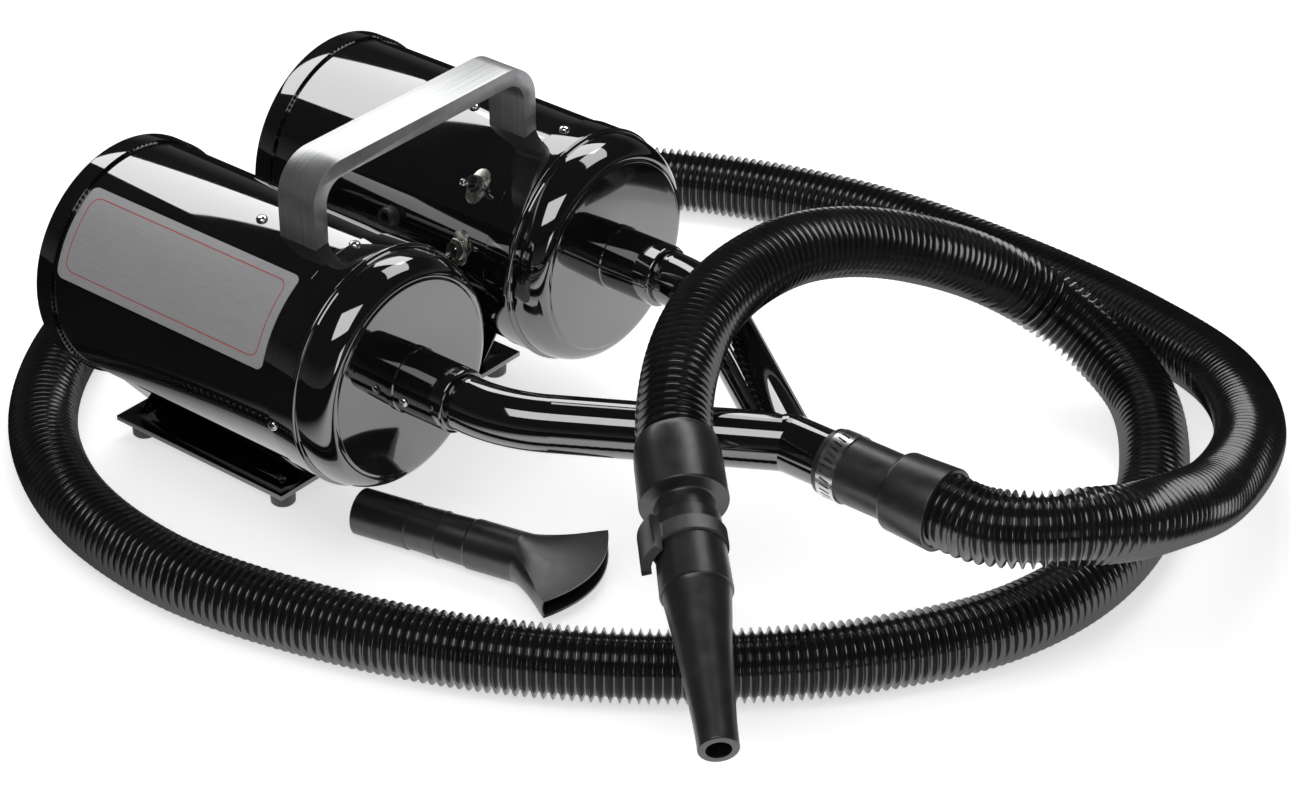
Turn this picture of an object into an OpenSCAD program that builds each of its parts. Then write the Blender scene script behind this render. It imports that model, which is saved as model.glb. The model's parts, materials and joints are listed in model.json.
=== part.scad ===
// Twin-motor force dryer for pets: two steel blower cans side by side on a plate with rubber
// feet, their outlets joined by a Y-pipe into one ribbed hose with a blower nozzle on its end,
// and a spare fan nozzle. +X runs along the cans towards their outlets, +Y is to the left of
// someone who looks along +X, +Z is up. The origin is on the floor, midway between the cans and
// below the middle of the dryer's length, from the plate's rear edge to the machine cuff.

/* [Cans] */
// outside radius of each steel can
can_r = 89; // [75:1:100]
// sheet thickness of the can tube
can_wall = 1.2; // [0.8:0.1:2]
// length of the can tube, rear edge to front bead
can_len = 256; // [220:1:300]
// x of the rear edge of the can tubes
can_rear_x = -330; // [-345:1:-320]
// distance between the two can axes
can_spacing = 225; // [205:1:260]
// height of the can axes above the floor
can_z = 157; // [140:1:180]

/* [Front caps] */
// length of the cap from the bead to its face
cap_len = 30; // [24:1:40]
// sheet thickness of the cap
cap_wall = 1.4; // [1:0.1:2]
// radius of the bead rolled round the cap's edge
bead_r = 3; // [2:0.5:4]
// length of the skirt behind the bead, over the can
skirt_len = 22; // [8:1:24]
// radius of the raised flat face
face_r = 74; // [60:1:80]
// height of the raised face above the shoulder
face_step = 5; // [2:0.5:8]
// length of the rounded shoulder along the axis
shoulder_len = 16; // [8:1:18]
// crown of the raised face at its middle
face_crown = 1.5; // [0:0.5:3]
// length of the spigot that sits inside the can
spigot_len = 26; // [15:1:35]

/* [Rear covers] */
// length of the cover's skirt over the can
cover_skirt = 14; // [8:1:20]
// thickness of the cover
cover_wall = 2.5; // [1.5:0.1:3]
// width of each intake slot
slot_w = 5; // [3:0.5:7]
// number of slot rings
slot_rings = 4; // [2:1:5]
// slots in each ring
slots_per_ring = 8; // [6:1:12]
// radius of the innermost slot ring
slot_first_r = 24; // [18:1:30]
// distance between slot rings
slot_pitch = 14; // [11:1:18]
// thickness of the foam filter
filter_t = 14; // [8:1:20]

/* [Motors and fans] */
// outside radius of the fan shell
fan_shell_r = 72; // [60:1:76]
// wall of the fan shell
fan_wall = 1.5; // [1:0.1:2.5]
// x of the fan shell's rear plate
fan_rear_x = -272; // [-290:1:-260]
// length of one fan stage, blades and discs
stage_len = 16; // [12:1:20]
// running clearance of the fans along the shaft
fan_gap = 3; // [2:0.5:5]
// radius of the fan wheels
wheel_r = 64; // [50:1:68]
// thickness of the fan wheels' discs and blades
vane_t = 1.2; // [0.8:0.1:2]
// number of blades in each wheel
blades = 9; // [6:1:12]
// radius of the inlet eye
eye_r = 22; // [15:1:28]
// number of exhaust ports in the shell's front plate
exhaust_ports = 8; // [4:1:10]
// radius of the motor's stator
stator_r = 46; // [38:1:50]
// radius of the motor's armature
armature_r = 28; // [20:1:32]
// length of the stator
stator_len = 46; // [30:1:55]
// radius of the motor shaft
shaft_r = 4; // [3:0.5:5]
// width of the rubber ring that carries the fan shell
mount_len = 10; // [6:1:14]

/* [Outlets and Y-pipe] */
// outside radius of the outlet stubs
stub_r = 23.8; // [22:0.1:26]
// length of the outlet stubs in front of the cap face
stub_len = 48; // [35:1:60]
// outside radius of the Y-pipe
pipe_r = 20.5; // [18:0.1:21]
// wall of the Y-pipe
pipe_wall = 1.8; // [1.2:0.1:2.5]
// how far the Y-pipe's arms sit inside the stubs
arm_insert = 25; // [15:1:35]
// radius of the bend in each arm
bend_r = 100; // [80:5:120]
// angle that each arm turns towards the middle
arm_angle = 35; // [28:0.5:40]
// how much lower than the cans the stem runs
stem_drop = 8; // [0:1:16]
// length of the stem in front of the junction
stem_len = 63; // [45:1:80]

/* [Machine cuff and clamp] */
// outside radius of the cuff's neck
neck_r = 23.7; // [23:0.1:26]
// length of the neck
neck_len = 56; // [45:1:65]
// how far the neck reaches over the stem
neck_grip = 26; // [15:1:35]
// outside radius of the cuffs' open end
cuff_r = 29.7; // [29:0.1:32]
// how much smaller the cuff is at its other end
cuff_taper = 1.5; // [0:0.1:2]
// length of the machine cuff's wide part
cuff_len = 40; // [38:1:60]
// width of the clamp band
band_w = 14; // [9:1:16]
// thickness of the clamp band
band_t = 1; // [0.6:0.1:1.5]
// number of slots round the clamp band
band_slots = 30; // [20:1:40]

/* [Hose] */
// outside radius of the hose over its ribs
hose_r = 26.3; // [24:0.1:28]
// radius of the hose between its ribs
hose_valley_r = 23.2; // [20:0.1:25]
// radius of the hose's bore
hose_bore_r = 19; // [16:0.5:20]
// number of ribs
hose_ribs = 196; // [60:2:200]
// how deep the hose sits in its cuffs
hose_grip = 30; // [20:1:40]

/* [Blower nozzle] */
// angle of the nozzle below the horizontal
nozzle_slope = 17; // [0:1:30]
// direction of the nozzle seen from above
nozzle_heading = -44.5; // [-90:0.5:0]
// outside radius of the hand cuff at its front rim
grip_r = 30.4; // [29.6:0.1:33]
// length of the hand cuff
hand_cuff_len = 53; // [40:1:60]
// outside radius of the hand cuff's neck
spout_r = 20; // [19:0.1:21]
// length of the hand cuff's neck
spout_len = 60; // [40:1:70]
// wall of the nozzle
nozzle_wall = 3; // [1.8:0.1:4]
// length of the nozzle's socket
socket_len = 59; // [50:1:65]
// length of the nozzle's cone in front of the socket
cone_len = 122; // [90:1:150]
// outside radius of the nozzle's tip
tip_r = 13.5; // [11:0.1:16]
// width of the lock ring
ring_w = 11; // [7:1:14]
// thickness of the lock ring
ring_t = 2.4; // [1.5:0.1:4]

/* [Fan nozzle] */
// outside radius of the fan nozzle's plug tube
plug_r = 17.7; // [15:0.1:17.7]
// length of the plug tube
plug_len = 45; // [30:1:60]
// length of each of the two stepped collars
step_len = 25; // [15:1:30]
// outside radius of the fan nozzle's body
body_r = 18.9; // [18:0.1:21]
// length of the body
body_len = 39; // [30:1:50]
// width of the mouth
mouth_w = 102; // [80:1:120]
// height of the mouth, outside
mouth_h = 15; // [10:1:20]
// distance from the body to the mouth's corners
mouth_reach = 44; // [35:1:60]
// bulge of the mouth's edge
mouth_bulge = 16; // [8:1:20]
// wall of the fan nozzle
fan_nozzle_wall = 2.2; // [1.5:0.1:3]

/* [Switches and gland] */
// x of the two toggle switches
switch_x = -121; // [-150:1:-110]
// angle of the upper switch above the horizontal, seen along the can
switch_upper = 42.5; // [38:0.5:55]
// angle of the lower switch
switch_lower = 11.3; // [0:0.5:14]
// radius of the switch bushing
bush_r = 5.9; // [5:0.1:7]
// length of the bushing outside the can
bush_len = 9; // [6:0.5:12]
// length of the bat lever
lever_len = 17; // [12:1:22]
// lean of the lever to each side, up or down the can
lever_lean = 14; // [8:1:18]
// x of the cord gland
gland_x = -190; // [-198:1:-160]
// angle of the cord gland above the horizontal
gland_angle = 13; // [0:1:30]
// outside radius of the cord gland's collar
gland_r = 8.5; // [7:0.5:11]

/* [Handle] */
// width of the handle bar along the cans
handle_w = 35; // [25:1:45]
// thickness of the handle bar
handle_t = 12.7; // [8:0.1:15]
// x of the handle's middle
handle_x = -129; // [-160:1:-110]
// distance between the outer faces of the handle's legs
handle_span = 234; // [220:1:245]
// how far the handle's middle lies towards the near can
handle_shift = 15; // [0:1:20]
// height of the handle's top above the floor
handle_top = 304; // [280:1:330]
// outer radius of the handle's corners
handle_corner = 30; // [20:1:45]

/* [Base] */
// x of the base plate's middle
plate_x = -250; // [-260:1:-240]
// length of the base plate along X
plate_len = 177; // [150:1:220]
// width of the base plate along Y
plate_w = 268; // [240:1:300]
// sheet thickness of the base plate
sheet_t = 2; // [1.5:0.1:3]
// height of the lip folded down round the base plate
lip_h = 4; // [2.5:0.5:8]
// height of the rubber feet
foot_h = 16; // [10:1:25]
// radius of the rubber feet
foot_r = 10; // [8:1:14]
// distance of the feet from the plate's ends
foot_inset_x = 14; // [12:1:40]
// distance of the feet from the plate's long sides
foot_inset_y = 15; // [12:1:40]
// how much shorter than the plate each saddle is, at its front end
saddle_short = 9; // [0:1:40]
// sheet thickness of the saddles
saddle_t = 2; // [1.5:0.1:3]
// how far the saddle's outer wing starts inside the can's lowest point
outer_foot = 12; // [0:1:16]
// width of the saddle's floor
saddle_floor = 30; // [20:1:40]
// angle round the can, from its lowest point, where the saddle's outer wing meets it
outer_contact = 21; // [15:1:40]
// angle where the saddle's inner wing meets the can
inner_contact = 55; // [40:1:60]

/* [Hidden] */
SIDES = ["near", "far"];
ENDS = ["rear", "front"];
LEVELS = ["upper", "lower"];
$fn = 96;
small_fn = 40;                                   // facets of bolts, bushings and feet
fit = 0.05;                                      // radial clearance of parts that sit on each other
slip = 0.3;                                      // clearance of parts that only pass each other
can_y = can_spacing / 2;
can_front_x = can_rear_x + can_len;
can_in = can_r - can_wall;                       // inside radius of the can tube
face_x = can_front_x + cap_len;
plate_top = foot_h + sheet_t;
gloss_black = [0.05, 0.05, 0.055];
satin_black = [0.10, 0.10, 0.105];
bright_steel = [0.78, 0.78, 0.80];

function side_y(s) = s == "near" ? -can_y : can_y;
function end_sign(e) = e == "rear" ? -1 : 1;
function switch_angle(l) = l == "upper" ? switch_upper : switch_lower;
function arc(cx, cr, rx, rr, a0, a1, n) =        // points (x, r) of an elliptical arc
    [for (i = [0:n]) let (a = a0 + (a1 - a0) * i / n) [cx + rx * cos(a), cr + rr * sin(a)]];

// a profile of (x, r) points turned about the X axis
module turned(profile)
    rotate([0, 90, 0]) rotate_extrude() polygon([for (q = profile) [q[1], q[0]]]);

// a ring about the X axis from x0 to x1
module ring(x0, x1, r_out, r_in = 0)
    translate([x0, 0, 0]) rotate([0, 90, 0])
        difference() {
            cylinder(h = x1 - x0, r = r_out);
            if (r_in > 0) translate([0, 0, -1]) cylinder(h = x1 - x0 + 2, r = r_in);
        }

// puts a piece that is drawn about the X axis onto one can's axis
module on_can(s) translate([0, side_y(s), can_z]) children();

// puts a piece on the far can's inner side, its +Z pointing straight out of the can
module on_far_wall(x, angle)
    translate([x, can_y, can_z]) rotate([90 - angle, 0, 0]) translate([0, 0, can_r]) children();

// ---- Base -------------------------------------------------------------------------------

foot_x = plate_len / 2 - foot_inset_x;
foot_y = plate_w / 2 - foot_inset_y;
foot_hole_r = 2.6;                               // for the 5 mm screws of feet and saddles
foot_pocket_r = foot_r - 3.5;                    // screw pocket in the underside of each foot
foot_pocket_h = 7;

module base_plate()
    color(gloss_black) difference() {
        translate([plate_x - plate_len / 2, -plate_w / 2, plate_top - lip_h])
            cube([plate_len, plate_w, lip_h]);
        translate([plate_x - plate_len / 2 + sheet_t, -plate_w / 2 + sheet_t, plate_top - lip_h - 1])
            cube([plate_len - 2 * sheet_t, plate_w - 2 * sheet_t, lip_h - sheet_t + 1]);
        for (sx = [-1, 1], sy = [-1, 1])
            translate([plate_x + sx * foot_x, sy * foot_y, 0])
                cylinder(h = plate_top + 1, r = foot_hole_r, $fn = small_fn);
        for (sx = [-1, 1], sy = [-1, 1])
            translate([plate_x + sx * saddle_bolt_x, sy * saddle_bolt_y, 0])
                cylinder(h = plate_top + 1, r = foot_hole_r, $fn = small_fn);
    }

// turned bumper foot with a pocket for its screw
module foot(e, s)
    color([0.62, 0.62, 0.62])
        translate([plate_x + end_sign(e) * foot_x, (s == "near" ? -1 : 1) * foot_y, 0])
            rotate_extrude($fn = small_fn) polygon([
                [foot_pocket_r, 0], [foot_r - 2, 0], [foot_r - 0.6, 1.4], [foot_r, foot_h],
                [foot_hole_r, foot_h], [foot_hole_r, foot_pocket_h], [foot_pocket_r, foot_pocket_h]
            ]);

// bent sheet under one can: a floor bolted to the plate between two wings that carry the can
saddle_bolt_inset = 30;                          // from the plate's ends to the saddle bolts
saddle_bolt_x = plate_len / 2 - saddle_bolt_inset;
saddle_bolt_y = can_y - outer_foot - saddle_floor / 2;
wing_lap = 1;                                    // end of each wing that is cut to the can's curve
module wing(y, contact) {                        // from the floor's edge at y up to the can
    start = [y, plate_top + saddle_t];
    way = [can_y, can_z] + (can_r + fit) * [sin(contact), -cos(contact)] - start;
    side = contact > 0 ? -saddle_t : 0;
    translate(start) rotate(atan2(way[1], way[0])) translate([0, side])
        square([norm(way) + wing_lap, saddle_t]);
    translate(start) intersection() {
        circle(r = saddle_t, $fn = small_fn);
        translate([-saddle_t, -saddle_t]) square([2 * saddle_t, saddle_t]);
    }
}
module saddle(s)
    color(gloss_black) mirror([0, s == "near" ? 1 : 0, 0]) difference() {
        translate([plate_x - plate_len / 2, 0, 0]) rotate([90, 0, 90])
            linear_extrude(plate_len - saddle_short) difference() {
                union() {
                    translate([can_y - outer_foot - saddle_floor, plate_top])
                        square([saddle_floor, saddle_t]);
                    wing(can_y - outer_foot, outer_contact);
                    wing(can_y - outer_foot - saddle_floor, -inner_contact);
                }
                translate([can_y, can_z]) circle(r = can_r + fit, $fn = 192);
            }
        on_can("far")
            ring(plate_x - plate_len / 2 - 1, can_rear_x + cover_skirt + slip, cover_r + slip);
        for (sx = [-1, 1]) translate([plate_x + sx * saddle_bolt_x, saddle_bolt_y, plate_top - 1])
            cylinder(h = saddle_t + 2, r = foot_hole_r, $fn = small_fn);
    }

// ---- Cans, caps and rear covers ---------------------------------------------------------

outlet_hole_r = stub_r + fit;
handle_bolt_r = 3.2;

module can(s)
    color(gloss_black) difference() {
        on_can(s) ring(can_rear_x, can_front_x, can_r, can_in);
        if (s == "far") {
            for (l = LEVELS) on_far_wall(switch_x, switch_angle(l))
                translate([0, 0, -6]) cylinder(h = 12, r = bush_r + slip / 2, $fn = small_fn);
            on_far_wall(gland_x, gland_angle)
                translate([0, 0, -6]) cylinder(h = 12, r = gland_neck_r + slip / 2, $fn = small_fn);
        }
        translate([handle_x, leg_y(s), can_z])
            cylinder(h = can_r + 5, r = handle_bolt_r, $fn = small_fn);
    }

// pressed cap: spigot, rolled bead, short skirt, rounded shoulder and raised crowned face
spigot_r = can_in - fit;
skirt_r = can_r - 0.4;
shoulder_x = can_front_x + cap_len - face_step;
cap_skin = [
    [can_front_x - spigot_len, spigot_r], [can_front_x + fit, spigot_r],
    [can_front_x + fit, can_r + fit], [can_front_x - skirt_len, can_r + fit],
    [can_front_x - skirt_len, can_r + 0.9], [can_front_x - skirt_len + 0.6, can_r + 1.3],
    [can_front_x - 2, can_r + 1.3],
    each arc(can_front_x + bead_r, skirt_r, bead_r, bead_r + can_r - skirt_r + 0.5, 160, 0, 10),
    each arc(shoulder_x - shoulder_len, face_r + 3, shoulder_len, skirt_r - face_r - 3, 90, 0, 10),
    [shoulder_x, face_r + 1], each arc(face_x - 2, face_r - 2, 2, 2, 60, 0, 3),
    [face_x + face_crown * 0.6, face_r * 0.6], [face_x + face_crown, outlet_hole_r]
];
cap_lining = [
    [face_x + face_crown - cap_wall, outlet_hole_r],
    [face_x + face_crown * 0.6 - cap_wall, face_r * 0.6],
    [face_x - cap_wall, face_r - 3], [shoulder_x - cap_wall, face_r - cap_wall],
    each arc(shoulder_x - shoulder_len, face_r + 3 - cap_wall, shoulder_len - cap_wall,
             skirt_r - face_r - 3, 0, 90, 10),
    [can_front_x + bead_r, spigot_r - cap_wall], [can_front_x - spigot_len, spigot_r - cap_wall]
];
module cap(s) color(gloss_black) on_can(s) turned(concat(cap_skin, cap_lining));

// rear cover with a rounded edge and rings of intake slots
cover_r = can_r + cover_wall;
cover_back_x = can_rear_x - fit - cover_wall;
slot_sweep = 360 / slots_per_ring * 0.66;
module rear_cover(s)
    color(gloss_black) on_can(s) difference() {
        turned([
            [cover_back_x, 0], each arc(cover_back_x + 2, cover_r - 2, 2, 2, 180, 90, 5),
            [can_rear_x + cover_skirt, cover_r], [can_rear_x + cover_skirt, can_r + fit],
            [can_rear_x - fit, can_r + fit], [can_rear_x - fit, 0]
        ]);
        for (k = [0:slot_rings - 1], i = [0:slots_per_ring - 1])
            rotate([(i + 0.5 * (k % 2)) * 360 / slots_per_ring, 0, 0])
                translate([cover_back_x - 1, 0, 0]) rotate([0, 90, 0])
                    rotate_extrude(angle = slot_sweep)
                        translate([slot_first_r + k * slot_pitch - slot_w / 2, 0])
                            square([slot_w, cover_wall + 2]);
    }

module filter_pad(s)
    color([0.16, 0.16, 0.16]) on_can(s) ring(can_rear_x, can_rear_x + filter_t, can_in - fit);

// ---- Motor, two-stage fan and the ring that carries them ----------------------------------

stage1_x = fan_rear_x + fan_wall + fan_gap;      // rear face of the first fan wheel
diffuser_x = stage1_x + stage_len + fan_gap;
stage2_x = diffuser_x + 3 + fan_gap;
shell_front_x = stage2_x + stage_len + fan_gap;
stator_x = shell_front_x + 8;
hub_r = 9;
end_hub_x = stator_x + stator_len + 22;
hub_len = 9;

module motor_mount(s)
    color([0.13, 0.13, 0.13]) on_can(s)
        turned([
            [fan_rear_x + 4, fan_shell_r + fit], [fan_rear_x + 4 + mount_len, fan_shell_r + fit],
            [fan_rear_x + 4 + mount_len * 0.7, (fan_shell_r + can_in) / 2],
            [fan_rear_x + 4 + mount_len, can_in - fit], [fan_rear_x + 4, can_in - fit],
            [fan_rear_x + 4 + mount_len * 0.3, (fan_shell_r + can_in) / 2]
        ]);

// fan shell with inlet eye, fixed plate between the stages, exhaust ports, stator and end frame
module motor(s)
    color([0.55, 0.56, 0.58]) on_can(s) {
        difference() {
            turned([
                [fan_rear_x, eye_r], each arc(fan_rear_x + 4, fan_shell_r - 4, 4, 4, 180, 90, 5),
                [shell_front_x + fan_wall, fan_shell_r], [shell_front_x + fan_wall, shaft_r + fit],
                [shell_front_x, shaft_r + fit], [shell_front_x, fan_shell_r - fan_wall],
                [diffuser_x + 3, fan_shell_r - fan_wall], [diffuser_x + 3, hub_r + 5],
                [diffuser_x, hub_r + 5], [diffuser_x, fan_shell_r - fan_wall],
                [fan_rear_x + fan_wall, fan_shell_r - fan_wall], [fan_rear_x + fan_wall, eye_r]
            ]);
            for (i = [0:exhaust_ports - 1]) rotate([i * 360 / exhaust_ports, 0, 0])
                translate([shell_front_x - 1, 0, (stator_r + fan_shell_r) / 2])
                    rotate([0, 90, 0]) cylinder(h = fan_wall + 2, r = 7, $fn = small_fn);
        }
        ring(shell_front_x + fan_wall - 0.5, stator_x - 1, hub_r, shaft_r + fit);
        ring(shell_front_x + fan_wall - 0.5, stator_x + 1, stator_r - 3, stator_r - 6);
        ring(stator_x, stator_x + stator_len, stator_r, armature_r + 1);
        ring(end_hub_x, end_hub_x + hub_len, hub_r + 3, shaft_r + fit);
        for (i = [0:2]) rotate([i * 120, 0, 0]) {
            translate([stator_x + stator_len - 1, -5, stator_r - 9])
                cube([end_hub_x + 4 - stator_x - stator_len + 1, 10, 5]);
            translate([end_hub_x, -5, hub_r]) cube([4, 10, stator_r - 4 - hub_r]);
        }
    }

// curved blades, drawn flat: slices of a ring whose edge passes close to the shaft
blade_bend = wheel_r * 0.62;
module blade_plan()
    intersection() {
        difference() { circle(r = wheel_r - 0.5); circle(r = hub_r + 4); }
        for (i = [0:blades - 1]) rotate(i * 360 / blades) intersection() {
            translate([0, blade_bend]) difference() {
                circle(r = blade_bend); circle(r = blade_bend - vane_t);
            }
            translate([0, -1]) square([wheel_r, wheel_r]);
        }
    }

module fan_wheel(x)
    translate([x, 0, 0]) {
        ring(0, vane_t, wheel_r, eye_r + 2);
        ring(stage_len - vane_t, stage_len, wheel_r, shaft_r - 1);
        ring(stage_len - 9, stage_len, hub_r, shaft_r - 1);
        translate([vane_t / 2, 0, 0]) rotate([0, 90, 0])
            linear_extrude(stage_len - vane_t) blade_plan();
    }

commutator_r = 14;
module rotor(s)
    color([0.60, 0.42, 0.25]) on_can(s) {
        ring(stage1_x - 2, end_hub_x + hub_len + 4, shaft_r);
        fan_wheel(stage1_x);
        fan_wheel(stage2_x);
        ring(stator_x, stator_x + stator_len, armature_r);
        ring(stator_x + stator_len - 1, stator_x + stator_len + 16, commutator_r);
    }

// ---- Outlets and Y-pipe -------------------------------------------------------------------

stub_bore_r = pipe_r + fit;
stub_x = face_x + face_crown;                    // outer face of the cap at the outlet
stub_end_x = stub_x + stub_len;
lock_r = stub_r + 5;                             // flange behind the cap's face
flange_x = stub_x - cap_wall - slip;             // the flange's front, clear of the crowned face
elbow_x = stub_end_x + 6;                        // where the arms start to bend
arm_start_x = stub_end_x - arm_insert;
stem_z = can_z - stem_drop;
arm_tilt = atan(stem_drop / can_y);
arm_reach = sqrt(can_y * can_y + stem_drop * stem_drop);
arm_run = (arm_reach - bend_r * (1 - cos(arm_angle))) / sin(arm_angle);
bend_end_x = elbow_x + bend_r * sin(arm_angle);
junction_x = bend_end_x + arm_run * cos(arm_angle);
stem_end_x = junction_x + stem_len;
weld_h = 0.15;                                   // height of the weld beads at the ends of each bend
seam_h = 0.6;                                    // height of the weld round the junction

module outlet(s)
    color(gloss_black) on_can(s) turned([
        [flange_x - 2, stub_bore_r], [flange_x - 2, lock_r], [flange_x, lock_r], [flange_x, stub_r],
        [stub_x + fit, stub_r], [stub_x + fit, stub_r + 0.9], [stub_x + 3, stub_r + 0.9],
        [stub_x + 3.6, stub_r], [stub_end_x - 2, stub_r],
        each arc(stub_end_x - 2, stub_r - 2, 2, 2, 90, 30, 4), [stub_end_x, stub_bore_r]
    ]);

// one arm of the given radius, drawn from the near can; over lengthens its open end
module arm(r, over = 0)
    translate([0, -can_y, can_z]) rotate([-arm_tilt, 0, 0]) {
        translate([arm_start_x - over, 0, 0]) rotate([0, 90, 0])
            cylinder(h = elbow_x - arm_start_x + over, r = r);
        ring(elbow_x - 1, elbow_x + 1, r + weld_h);
        translate([elbow_x, bend_r, 0]) rotate([0, 0, -90])
            rotate_extrude(angle = arm_angle) translate([bend_r, 0]) circle(r = r);
        translate([bend_end_x, bend_r * (1 - cos(arm_angle)), 0]) rotate([0, 0, arm_angle])
            union() {
                rotate([0, 90, 0]) cylinder(h = arm_run, r = r);
                ring(-1, 1, r + weld_h);
            }
    }

module y_form(r, over = 0) {
    arm(r, over);
    mirror([0, 1, 0]) arm(r, over);
    translate([junction_x, 0, stem_z]) rotate([0, 90, 0]) sphere(r = r + seam_h);
    translate([junction_x, 0, stem_z]) rotate([0, 90, 0]) cylinder(h = stem_len + over, r = r);
}

module y_pipe()
    color(gloss_black) difference() {
        y_form(pipe_r);
        y_form(pipe_r - pipe_wall, 1);
    }

// ---- Machine cuff and its clamp -----------------------------------------------------------

hose_fit_r = hose_r + slip;                      // bore of the cuffs round the hose
cuff_x = stem_end_x - neck_grip;                 // rear end of the neck
wide_x = cuff_x + neck_len;
cuff_end_x = wide_x + cuff_len;
through_r = pipe_r - pipe_wall;

module on_stem() translate([0, 0, stem_z]) children();

module machine_cuff()
    color(satin_black) on_stem() turned([
        [cuff_x, pipe_r + fit], [cuff_x, neck_r - 0.8], [cuff_x + 0.8, neck_r], [wide_x, neck_r],
        each arc(wide_x + 5, cuff_r - cuff_taper - 5, 5, 5, 170, 90, 5),
        [cuff_end_x - 1, cuff_r], [cuff_end_x, cuff_r - 1], [cuff_end_x, hose_fit_r],
        [cuff_end_x - hose_grip, hose_fit_r], [cuff_end_x - hose_grip, through_r],
        [stem_end_x + slip, through_r], [stem_end_x + slip, pipe_r + fit]
    ]);

band_x = cuff_x + 5;
band_in = neck_r + fit;
housing_angle = 215;                             // clamp housing sits below, away from the front

module clamp_band()
    color(bright_steel) on_stem() {
        difference() {
            ring(band_x, band_x + band_w, band_in + band_t, band_in);
            for (i = [0:band_slots - 1])
                rotate([housing_angle + 24 + i * 312 / (band_slots - 1), 0, 0])
                    translate([band_x + band_w * 0.22, -0.8, band_in - 1])
                        rotate([0, 0, -14]) cube([band_w * 0.56, 1.5, band_t + 2]);
        }
        rotate([housing_angle, 0, 0]) difference() {
            translate([band_x, -7, band_in + band_t / 2]) cube([band_w, 14, 8.5]);
            translate([band_x + band_w / 2, -8, band_in + band_t + 3.9]) rotate([-90, 0, 0])
                cylinder(h = 16, r = 3.4, $fn = small_fn);
        }
    }

module clamp_screw()
    color(bright_steel) on_stem() rotate([housing_angle, 0, 0])
        translate([band_x + band_w / 2, -8.5, band_in + band_t + 3.9]) rotate([-90, 0, 0])
            difference() {
                union() {
                    cylinder(h = 18, r = 3.4 - fit, $fn = small_fn);
                    translate([0, 0, -5]) cylinder(h = 5, r = 4.1, $fn = 6);
                }
                translate([-5, -0.5, -6]) cube([10, 1, 2]);
            }

// ---- Hose ---------------------------------------------------------------------------------

// the hand cuff's rear end, where the hose goes in
hand_point = [180.5, -93.5, 184];
nozzle_dir = [cos(nozzle_slope) * cos(nozzle_heading), cos(nozzle_slope) * sin(nozzle_heading),
              -sin(nozzle_slope)];
hose_start = [cuff_end_x - hose_grip + slip, 0, stem_z];
hose_end = hand_point + (hose_grip - slip) * nozzle_dir;

// points along the middle of the hose: off the machine cuff in the air, down round the right,
// behind the cans on the floor, round the front, and up over both arms to the hand cuff
route = [
    hose_start, [338, 0, stem_z], [361, 0, stem_z], [399, 14, 153], [422, 36, 154], [436, 62, 149],
    [442, 120, 132], [430, 200, 102], [393, 310, 78], [322, 397, 56], [213, 454, 37],
    [90, 481, 28], [-80, 476, 27], [-310, 375, 27], [-400, 285, 27],
    [-453, 170, 27], [-472, 40, 27], [-429, -102, 27], [-354, -194, 27], [-271, -242, 27],
    [-154, -262, 27], [-28, -241, 27], [116, -182, 27], [217, -111, 27], [303, -20, 27],
    [349, 58, 27], [366, 135, 27], [360, 208, 27], [326, 294, 29], [264, 362, 45], [220, 374, 61],
    [188, 368, 79], [126, 258, 161], [107, 188, 190], [102, 140, 203], [105, 57, 209],
    [130, -18, 206], [148, -51, 200], hand_point - 12 * nozzle_dir, hose_end
];
last = len(route) - 1;
knot_gap = [for (i = [0:last - 1]) norm(route[i + 1] - route[i])];
// travel direction at each point, from its two neighbours; the ends run square to their cuffs
heading = [for (i = [0:last])
    i == 0 ? [1, 0, 0] : i == last ? nozzle_dir :
    let (a = knot_gap[i - 1], b = knot_gap[i])
        ((route[i + 1] - route[i]) * a / b + (route[i] - route[i - 1]) * b / a) / (a + b)];
steps = 12;
function between(i, t) =                         // smooth curve from point i to the next
    let (h = knot_gap[i])
        (2 * t * t * t - 3 * t * t + 1) * route[i] + (t * t * t - 2 * t * t + t) * h * heading[i]
        + (3 * t * t - 2 * t * t * t) * route[i + 1] + (t * t * t - t * t) * h * heading[i + 1];
line = concat([for (i = [0:last - 1], k = [0:steps - 1]) between(i, k / steps)], [route[last]]);
function run_up(p, i = 0, sum = 0) =             // distance along the line up to each point
    i == len(p) - 1 ? [sum] : concat([sum], run_up(p, i + 1, sum + norm(p[i + 1] - p[i])));
along = run_up(line);
hose_length = along[len(along) - 1];
track = [for (k = [0:2]) [for (i = [0:len(line) - 1]) [along[i], line[i][k]]]];
function at(s) = [lookup(s, track[0]), lookup(s, track[1]), lookup(s, track[2])];
function unit(v) = v / norm(v);

sides = 8;
function hoop(s, r) =                            // ring of points square to the hose at distance s
    let (d = unit(at(min(s + 2, hose_length)) - at(max(s - 2, 0))), c = at(s),
         n = unit(cross([0, 0, 1], d)), b = cross(d, n))
        [for (k = [0:sides - 1]) c + r * (cos(k * 360 / sides) * n + sin(k * 360 / sides) * b)];

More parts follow.
